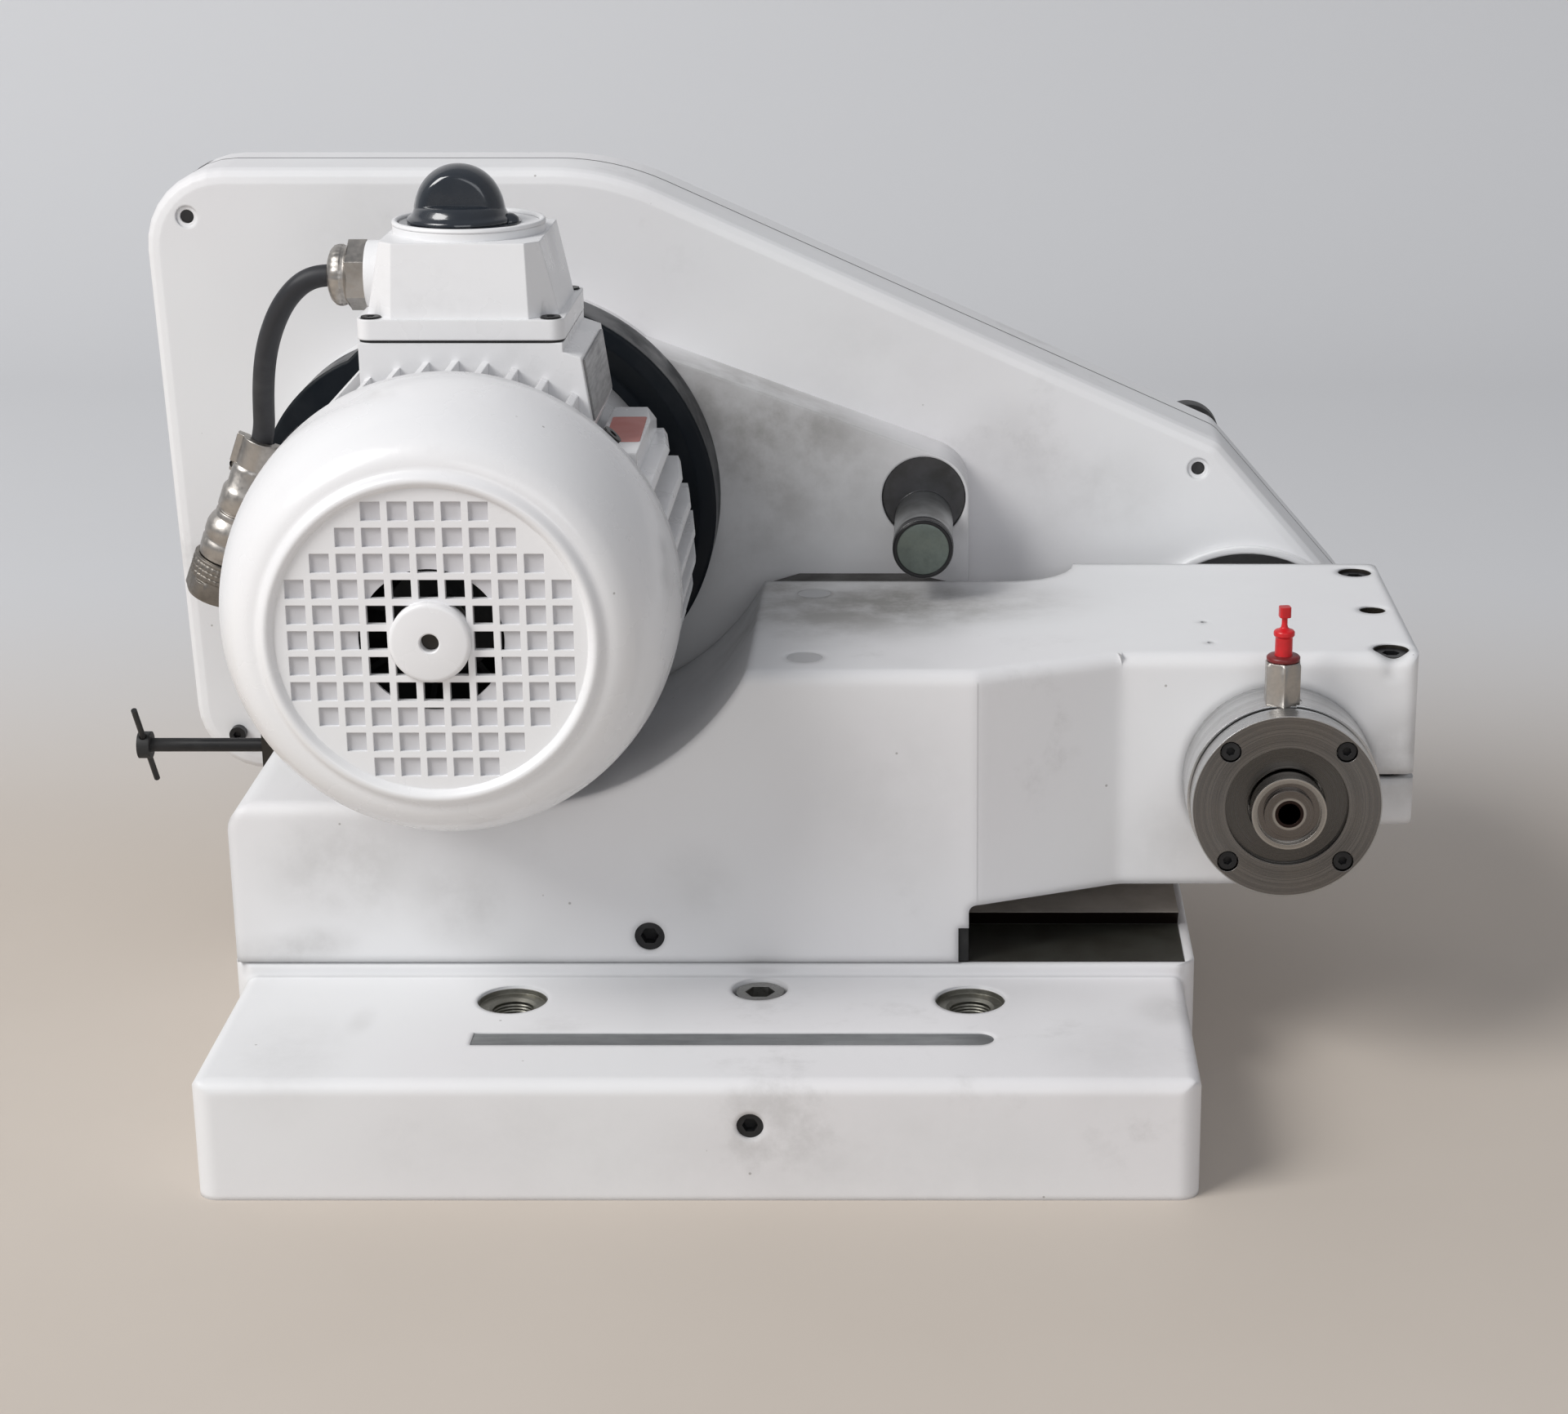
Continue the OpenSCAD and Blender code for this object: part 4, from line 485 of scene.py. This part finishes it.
# ---- Cable, in its route from the gland to the connector ----
CABLE_D = 8.3
ROUTE = [(-139.75, 13, 309.6), (-143.2, 13.1, 309.4), (-147.2, 13.3, 308.4), (-152.2, 14, 305.2),
         (-157.6, 15.5, 299.2), (-162.1, 18, 291.5), (-165.8, 21, 282.9), (-168.3, 24, 274.1),
         (-170, 27, 265.2), (-171, 29.5, 256.8), (-171.6, 31.8, 251.4), (-172.3, 33.4, 246.4),
         (-174.12, 34.55, 239.98), (-176.04, 35, 234.85)]
curve = bpy.data.curves.new("cable_sheath", "CURVE")
curve.dimensions = "3D"
spline = curve.splines.new("NURBS")
spline.points.add(len(ROUTE) - 1)
for pt, p in zip(spline.points, ROUTE):
    pt.co = (p[0] * MM, p[1] * MM, p[2] * MM, 1)
spline.order_u = 4
spline.use_endpoint_u = True
spline.resolution_u = 8
curve.bevel_depth = CABLE_D / 2 * MM
curve.bevel_resolution = 8
curve.use_fill_caps = True
curve.materials.append(sheath)
cable = bpy.data.objects.new("cable_sheath", curve)
link(cable)
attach(cable, "bracket")
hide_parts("cable")

# ---- Connector: cable clamp, shell, coupling nut ----
axis = Vector((-0.3489, 0.0872, -0.9331)).normalized()
side = Vector((0, 1, 0)).cross(axis).normalized()
front = axis.cross(side).normalized()
to_connector = Matrix.Translation(Vector(ROUTE[-1]) * MM) @ Matrix(
    ((side.x, front.x, axis.x, 0), (side.y, front.y, axis.y, 0), (side.z, front.z, axis.z, 0), (0, 0, 0, 1)))
bm = bmesh.new()
lathe(bm, [(4.6, 2.2), (6.9, 2.2), (7.9, 3.0), (8.3, 4.5), (8.3, 12.0), (9.0, 13.0), (9.5, 14.0), (9.5, 21.4),
           (9.1, 22.0), (8.6, 22.2), (8.6, 23.0), (9.3, 23.3), (9.5, 23.8), (9.5, 25.6), (10.4, 26.6),
           (11.3, 29.0), (11.5, 30.0), (11.5, 33.4), (11.1, 33.9), (11.1, 35.2), (11.5, 35.7), (11.5, 40.2),
           (11.2, 40.6), (11.2, 42.4), (9.5, 42.45), (9.5, 54.5), (8.6, 55.2), (0, 55.2)], to_connector, 64)
for k in range(6):
    a = math.radians(60 * k)
    lathe(bm, [(0, 58), (0.9, 57.5), (1.0, 55.1)],
          to_connector @ Matrix.Translation((5.5 * MM * math.cos(a), 5.5 * MM * math.sin(a), 0)), 12)
connector = piece("connector_shell", bm, nickel, "bracket", 40, 0, ("connector",))
bm = bmesh.new()
arc = [(7.6 * math.cos(math.radians(a)), 7.6 * math.sin(math.radians(a))) for a in range(0, 181, 12)]
inner = [(4.7 * math.cos(math.radians(a)), 4.7 * math.sin(math.radians(a))) for a in range(180, -1, -12)]
saddle = [(9.6, -0.6), (9.6, 2.6)] + [p for p in arc if abs(p[0]) < 7.1] + [(-9.6, 2.6), (-9.6, -0.6)] + \
    [(x, y - 0.1) for x, y in inner]
flip = to_connector @ Matrix.Scale(-1, 4, (0, 1, 0))
prism(bm, saddle, -8.6, 3.4, flip)
prism(bm, rounded_box(19, 4.2, 1.4), 1.6, 8.4, to_connector @ Matrix.Translation((0, 2.4 * MM, 0)))
clamp = piece("connector_clamp", bm, nickel, "bracket", 40, 0.0004)
bm = bmesh.new()
for s in (-1, 1):
    place = to_connector @ Matrix.Translation((s * 7.9 * MM, 4.0 * MM, 5.0 * MM)) @ Matrix.Rotation(
        math.radians(-90), 4, "X")
    lathe(bm, [(1.7, -4.5), (1.7, 0.4), (2.3, 0.6), (2.2, 1.6), (1.5, 2.1), (0.5, 2.1), (0.4, 1.3), (0, 1.3)],
          place, 20)
screws = piece("connector_clamp_screws", bm, nickel_dark, "bracket", 40)
bm = bmesh.new()


def knurl(r, h, a):
    """Fine knurls on the coupling nut's front half, six flats behind."""
    if 44.5 < h < 51.0 and r > 12:
        return 0.22 * math.cos(36 * a)
    if h >= 52.0 and r > 12:
        return 0.55 * max(-0.4, math.cos(6 * a))
    return 0.0


lathe(bm, [(10.2, 42.9), (12.0, 42.9), (12.6, 43.3), (12.6, 44.2), (12.2, 44.4), (12.2, 44.6), (12.45, 45.0),
           (12.45, 46.6), (12.1, 46.9), (12.45, 47.2), (12.45, 48.8), (12.1, 49.1), (12.45, 49.4),
           (12.45, 50.8), (12.0, 51.2), (12.0, 51.8), (12.3, 52.2), (12.3, 57.6), (11.8, 58.6), (11.2, 59.6),
           (9.9, 59.6), (9.9, 43.0)], to_connector, 108, True, knurl)
nut = piece("coupling_ring", bm, nickel_dark, "coupling", 40, 0, ("coupling_nut",))

# ---- Cable gland ----
bm = bmesh.new()
to_gland = Matrix.Translation((-124.85 * MM, 14 * MM, 309.6 * MM)) @ Matrix.Rotation(math.radians(-90), 4, "Y")
lathe(bm, [(0, -7), (9.8, -7), (9.8, 0.1), (0, 0.1)], to_gland, 48)
prism(bm, ngon(6, 11.5 / math.cos(math.radians(30)), math.radians(0)), 0.15, 7.2, to_gland)
lathe(bm, [(11.9, 7.0), (11.2, 7.7), (10.9, 8.0), (10.9, 9.2), (11.2, 9.5), (11.2, 11.0), (10.7, 12.4),
           (9.4, 13.7), (7.6, 14.5), (5.6, 14.8), (4.3, 14.5), (4.3, 8.0)], to_gland, 72, False,
      lambda r, h, a: 0.25 * max(0, math.cos(24 * a)) if r > 9 and h > 9 else 0)
piece("gland_nut", bm, nickel, "bracket", 40, 0.0003, ("cable_gland",))

# ---- Fan cover: shell, grille with pockets, hub ----
MX, MZ = -89, 202.8
to_motor = along_y(MX, MZ)
bm = bmesh.new()
GRILLE_R, GRILLE_FRONT, POCKET, CORE = 54.2, 21.5, 22.85, 24.2
CORE_R = 26.5
outer = [(GRILLE_R, GRILLE_FRONT), (54.5, 21.3), (54.9, 20.6), (55.4, 19.8), (56.1, 19.2), (56.9, 18.9),
         (57.8, 19.1), (58.6, 19.7), (59.3, 20.6), (60.0, 21.5), (60.8, 22.0), (61.8, 22.2),
         (63.2, 22.4), (65.0, 23.1)]
for k in range(5, 19):
    a = math.radians(5 * k)
    outer.append((58.5 + 23.5 * math.sin(a), 76 - 56 * math.cos(a)))
outer += [(82, 83.2), (81.6, 84), (80, 84)]
inner = [(80 - 23.5 * (1 - math.sin(math.radians(5 * k))), 76 - 51.8 * math.cos(math.radians(5 * k)))
         for k in range(18, -1, -1)]
lathe(bm, outer + inner + [(GRILLE_R, CORE)], to_motor, 144, True)
lathe(bm, [(3.25, CORE), (3.25, 18.5), (3.7, 18.0), (12.6, 18.0), (13.7, 18.3), (14.3, 19.1), (14.3, CORE)],
      to_motor, 96, True)
PITCH, RIB, CELL_REACH = 9.2, 2.4, 5.48
cells = [(i, j) for i in range(-5, 6) for j in range(-5, 6) if math.hypot(i, j) < CELL_REACH]
verts = [Vector(p) for p in ngon(144, GRILLE_R)]
edges = [(k, (k + 1) % 144) for k in range(144)]
half = (PITCH - RIB) / 2
for i, j in cells:
    n = len(verts)
    cx, cy = i * PITCH, j * PITCH
    corners = [(cx - half, cy - half), (cx + half, cy - half), (cx + half, cy + half), (cx - half, cy + half)]
    verts += [Vector([c * min(1, (GRILLE_R - 0.25) / math.hypot(*p)) for c in p]) for p in corners]
    edges += [(n, n + 1), (n + 1, n + 2), (n + 2, n + 3), (n + 3, n)]
vs, es, fs, *_ = delaunay_2d_cdt(verts, edges, [], 0, 1e-5)


def hollow(f):
    """Whether the face f of the grille's plane lies inside a cell."""
    x, y = (sum(vs[k][c] for k in f) / len(f) for c in (0, 1))
    i, j = round(x / PITCH), round(y / PITCH)
    return math.hypot(i, j) < CELL_REACH and abs(x - i * PITCH) < half and abs(y - j * PITCH) < half


kept = [f for f in fs if not hollow(f)]
count = {}
for f in kept:
    for a, b in zip(f, f[1:] + f[:1]):
        count[frozenset((a, b))] = count.get(frozenset((a, b)), 0) + 1
low = [bm.verts.new(to_motor @ Vector((x * MM, y * MM, GRILLE_FRONT * MM))) for x, y in vs]
for f in kept:
    bm.faces.new([low[k] for k in f])
back = {}
for e, n in count.items():
    if n != 1:
        continue
    a, b = e
    deep = CORE if max(vs[a].length, vs[b].length) < CORE_R else POCKET
    for k in (a, b):
        if (k, deep) not in back:
            back[k, deep] = bm.verts.new(to_motor @ Vector((vs[k][0] * MM, vs[k][1] * MM, deep * MM)))
    bm.faces.new((low[a], low[b], back[b, deep], back[a, deep]))
for k in range(4):
    r = Matrix.Rotation(math.radians(45 + 90 * k), 4, "Z")
    place = to_motor @ r @ Matrix.Translation((76.9 * MM, 0, 0)) @ Matrix.Rotation(math.radians(90), 4, "Y")
    prism(bm, [(-78, -6), (-93, -6), (-93, 6), (-78, 6)], -0.9, 0.9, place)
piece("fan_cover_shell", bm, paint_fan, "bracket", 40, 0, ("fan_cover",))
bm = bmesh.new()
# The floor behind the grille's pockets, in the darker pocket paint: painted shade.
lathe(bm, [(25.3, 22.8), (GRILLE_R - 0.05, 22.8), (GRILLE_R - 0.05, 24.1), (25.3, 24.1)], to_motor, 96, True)
piece("grille_floor", bm, pocket_paint, "bracket")

# ---- Switch knob on its seat ----
to_seat = Matrix.Translation((-86.9 * MM, 12.5 * MM, 329.4 * MM))
bm = bmesh.new()
lathe(bm, [(25.9, 0.02), (28.15, 0.02), (28.15, 0.9), (27.8, 1.4), (27.0, 1.6), (26.3, 1.3), (25.9, 0.7)],
      to_seat, 96, True)
piece("seat_lip", bm, paint_motor, "bracket")
bm = bmesh.new()
to_knob = to_seat @ Matrix.Translation((-3.2 * MM, 0, 0.35 * MM))
# The thin dark rim round the knob's foot, out to 22.4 mm and set off to the left, is a painted shadow of the
# knob on its seat.
lathe(bm, [(0, 0.02), (22.4, 0.02), (22.4, 0.2), (19.0, 0.22), (19.4, 0.5), (19.4, 1.4), (18.9, 2.0),
           (17.9, 2.5), (17.2, 3.6), (16.5, 5.2), (15.0, 6.4), (12.0, 7.0), (0, 7.2)], to_knob, 96)
seg = [180 * k / 40 for k in range(41)]
rows = []
for r, y, lift in ((0.5, -9.3, 4.5), (10.6, -9.5, 4.6), (12.2, -9.3, 4.0), (13.6, -8.2, 3.2), (15.6, -5.6, 2.2),
                   (16.8, -2.4, 1.6), (17.1, 0.6, 1.4), (16.6, 3.6, 1.6), (15.0, 7.0, 2.4), (12.0, 9.4, 3.0),
                   (0.5, 10.2, 3.5)):
    rows.append([bm.verts.new(to_knob @ Vector((r * MM * math.cos(math.radians(a)), y * MM, (
        lift - 1.4 + r * 1.24 * math.sin(math.radians(a)) ** 0.85) * MM))) for a in seg])
for a, b in zip(rows, rows[1:]):
    for k in range(40):
        bm.faces.new((a[k], a[k + 1], b[k + 1], b[k]))
bm.faces.new(rows[0])
bm.faces.new(rows[-1][::-1])
for a, b in zip(rows, rows[1:]):
    bm.faces.new((a[0], b[0], b[-1], a[-1]))
lathe(bm, [(0, -1.2), (3.6, -1.2), (3.2, 0.4), (1.6, 1.6), (0, 2.0)],
      to_knob @ Matrix.Translation((18.6 * MM, -2 * MM, 1.5 * MM)), 24)
piece("grip_knob", bm, knob_black, "switch", 50, 0, ("switch_knob",))

# ---- Red plug and its nipple ----
box0, box1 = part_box("nipple")
top = box1.z / MM
NIPPLE_X = 214.6
nipple_y = (box0.y + box1.y) / 2
to_plug = Matrix.Translation((NIPPLE_X * MM, nipple_y, top * MM)) @ Matrix.Rotation(math.radians(8), 4, "Z")
bm = bmesh.new()
lathe(bm, [(0, -6), (2.5, -6), (2.6, 0.25), (5.6, 0.25), (5.9, 0.6), (5.9, 1.7), (5.3, 2.1), (3.4, 2.2),
           (3.3, 3.2), (3.25, 9.2), (3.6, 9.6), (3.95, 10.0), (3.95, 11.3), (3.5, 11.9), (2.2, 12.3),
           (1.35, 13.0), (1.1, 14.2), (1.1, 16.4), (1.5, 17.0), (0, 17.2)], to_plug, 48)
prism(bm, rounded_box(4.2, 4.2, 1.0, 4), 16.9, 21.0, to_plug)
piece("plug_body", bm, red.m, "plug", 45, 0.00035, ("red_plug",))
bm = bmesh.new()
lathe(bm, [(3.35, 0.3), (6.05, 0.3), (6.3, 0.7), (6.3, 1.6), (5.7, 2.2), (3.35, 2.35)], to_plug, 48, True)
dark_red = Mat("dark_red", (0.16, 0.01, 0.012), 0.4)
dark_red.color(dark_red.mix(dark_red.noise(220.0, 4), (0.10, 0.008, 0.01), (0.24, 0.02, 0.02)))
piece("plug_base_ring", bm, dark_red.m, "plug", 45)
bm = bmesh.new()


def hexagon(af):
    """A lathe wave that trims the turned shape to a hexagon af millimetres across its flats."""
    def shape(r, h, a):
        s = (a + math.pi / 6) % (math.pi / 3) - math.pi / 6
        return min(r, af / 2 / math.cos(s)) - r
    return shape


low_z = box0.z / MM
to_nipple = Matrix.Translation((NIPPLE_X * MM, nipple_y, 0))
lathe(bm, [(2.8, low_z), (5.6, low_z), (5.6, low_z + 1.6), (6.4, low_z + 1.7), (7.3, low_z + 2.4),
           (7.3, top - 1.0), (6.3, top), (2.9, top), (2.8, top - 0.2)], to_nipple, 96, True, hexagon(12.6))
piece("nipple_hex", bm, nickel, "carriage", 40, 0, ("nipple",))

# ---- Shifter: turned rod with a black ring and a grey face ----
rod_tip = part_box("shifter")[0].y
to_rod = along_y(79.6, 190.9)
face_y = rod_tip / MM - BASE_FRONT
bm = bmesh.new()
lathe(bm, [(10.5, face_y - 0.5), (11.4, face_y - 0.5), (11.9, face_y - 0.1), (12.15, face_y + 0.5),
           (12.2, face_y + 5.4), (12.0, face_y + 5.8), (10.5, face_y + 5.8)], to_rod, 96, True)
piece("rod_end_ring", bm, black_oxide, "shifter")
bm = bmesh.new()
lathe(bm, [(0, face_y - 0.35), (9.8, face_y - 0.35), (10.5, face_y - 0.15), (10.5, face_y + 0.6),
           (0, face_y + 0.6)], to_rod, 96)
piece("rod_end_face", bm, rod_face, "shifter")

# ---- Faded patch on the motor's corner lug ----
bm = bmesh.new()
prism(bm, rounded_box(13, 42, 1.2, 4), 0.05, 0.3,
      Matrix.Translation((-31.4 * MM, 12 * MM, 251.5 * MM)) @ Matrix.Rotation(math.radians(1.5), 4, "Z"))
piece("faded_patch", bm, patch.m, "bracket")

# ---- Dark disc in the fan cover's hub hole: painted shade inside the hole ----
bm = bmesh.new()
lathe(bm, [(0, 21.6), (3.1, 21.6), (3.2, 21.8), (3.2, 22.5), (0, 22.5)], to_motor, 32)
piece("hub_hole", bm, oily, "bracket")

# ---- Threaded bushes in the base's bolt holes ----
bm = bmesh.new()
BUSH_R, THREAD_DEPTH, THREAD_STEP = 7.7, 0.35, 0.62
thread = [(BUSH_R + THREAD_DEPTH * (k % 2), 41.4 - THREAD_STEP * k) for k in range(19)]
for x, y in ((-74.5, -50), (97.9, -50)):
    lathe(bm, [(BUSH_R, 29.2), (13.1, 29.2), (13.1, 44.9), (12.8, 45.1), (12.5, 43.1), (9.0, 43.0),
               (BUSH_R, 42.0)] + thread,
          Matrix.Translation((x * MM, y * MM, 0)), 64, True)
piece("base_bushes", bm, bush_steel, "base")

# ---- Dark walls of the head's screw holes, kept under its rounded front edge ----
HEAD_TOP, HEAD_EDGE = 168.0, 5.0
bm = bmesh.new()
for x, y, r, z0, z1 in ((258.5, 3.2, 6.95, 158.6, 167.7), (258.5, 114.6, 6.95, 158.6, 167.7),
                        (258.5, 57.7, 5.3, 150.0, 167.6)):
    lathe(bm, [(r - 0.3, z0), (r, z0), (r, z1 - 0.2), (r - 0.15, z1), (r - 0.3, z1 - 0.2)],
          Matrix.Translation((x * MM, y * MM, 0)), 48, True)
for v in bm.verts:
    dip = min(4.9, max(0.0, -v.co.y / MM))
    edge = HEAD_TOP - HEAD_EDGE + math.sqrt(HEAD_EDGE ** 2 - dip * dip)
    v.co.z = min(v.co.z, (edge - 0.2) * MM)
piece("head_hole_walls", bm, oily, "carriage")

# ---- Dark seam round the guard, where its halves meet ----
shell = bmesh.new()
shell.from_mesh(nodes["guard_front"].data)
bmesh.ops.remove_doubles(shell, verts=shell.verts, dist=2e-6)
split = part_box("guard_front")[1].y
bm = bmesh.new()
for e in shell.edges:
    if len(e.link_faces) != 2 or min(v.co.y for v in e.verts) < split - 2e-6:
        continue
    n = min((f.normal for f in e.link_faces), key=lambda q: abs(q.y)).copy()
    mid = (e.verts[0].co + e.verts[1].co) / 2
    if abs(n.y) > 0.3 or n.dot(mid - Vector((0, mid.y, 0.2))) < 0:
        continue
    rows = [[bm.verts.new(v.co + n * o * MM + Vector((0, y * MM, 0)))
             for o, y in ((-0.3, -0.45), (0.07, -0.45), (0.07, 0.5), (-0.3, 0.5))] for v in e.verts]
    for k in range(4):
        j = (k + 1) % 4
        bm.faces.new((rows[0][k], rows[0][j], rows[1][j], rows[1][k]))
shell.free()
piece("guard_seam", bm, rubber, "bracket")

# ---- Floor, backdrop and lamps ----
floor_mat = Mat("floor", (0.58, 0.52, 0.46), 0.65)
rise = floor_mat.n("ShaderNodeSeparateXYZ")
floor_mat.at(rise, 0, floor_mat.co)
cloud = floor_mat.mix(floor_mat.ramp(floor_mat.noise(3.0, 4), 0.3, 0.7), (0.58, 0.52, 0.46), (0.55, 0.49, 0.43))
far = floor_mat.ramp(rise.outputs["Y"], 0.15, 0.75)
floor_mat.color(floor_mat.mix(far, cloud, (0.66, 0.665, 0.68)))
mesh = bpy.data.meshes.new("floor")
bm = bmesh.new()
bow = [(-2.5, 0.0)] + [(1.3 + 0.5 * math.sin(math.radians(a)), 0.5 - 0.5 * math.cos(math.radians(a)))
                       for a in range(0, 91, 9)] + [(1.8, 3.0)]
sides = [[bm.verts.new((x, y, z)) for y, z in bow] for x in (-4, 4)]
for k in range(len(bow) - 1):
    bm.faces.new((sides[0][k], sides[1][k], sides[1][k + 1], sides[0][k + 1]))
bm.to_mesh(mesh)
bm.free()
for p in mesh.polygons:
    p.use_smooth = True
mesh.materials.append(floor_mat.m)
floor = bpy.data.objects.new("floor", mesh)
link(floor)

world = bpy.data.worlds.new("world")
world.use_nodes = True
world.node_tree.nodes["Background"].inputs[0].default_value = (0.93, 0.95, 1.0, 1)
world.node_tree.nodes["Background"].inputs[1].default_value = 0.34
scene.world = world


def lamp(name, at, to, size, power, color=(1, 1, 1)):
    data = bpy.data.lights.new(name, "AREA")
    data.shape = "RECTANGLE"
    data.size, data.size_y = size
    data.energy = power
    data.color = color
    o = bpy.data.objects.new(name, data)
    link(o)
    o.location = at
    o.rotation_euler = (Vector(to) - Vector(at)).to_track_quat("-Z", "Y").to_euler()
    return o


lamp("key", (-2.4, -1.6, 2.75), (0, 0, 0.15), (1.9, 1.9), 122, (1, 0.99, 0.975))
lamp("front", (0.5, -2.4, 1.1), (0, 0, 0.15), (1.6, 1.0), 9, (0.95, 0.97, 1))
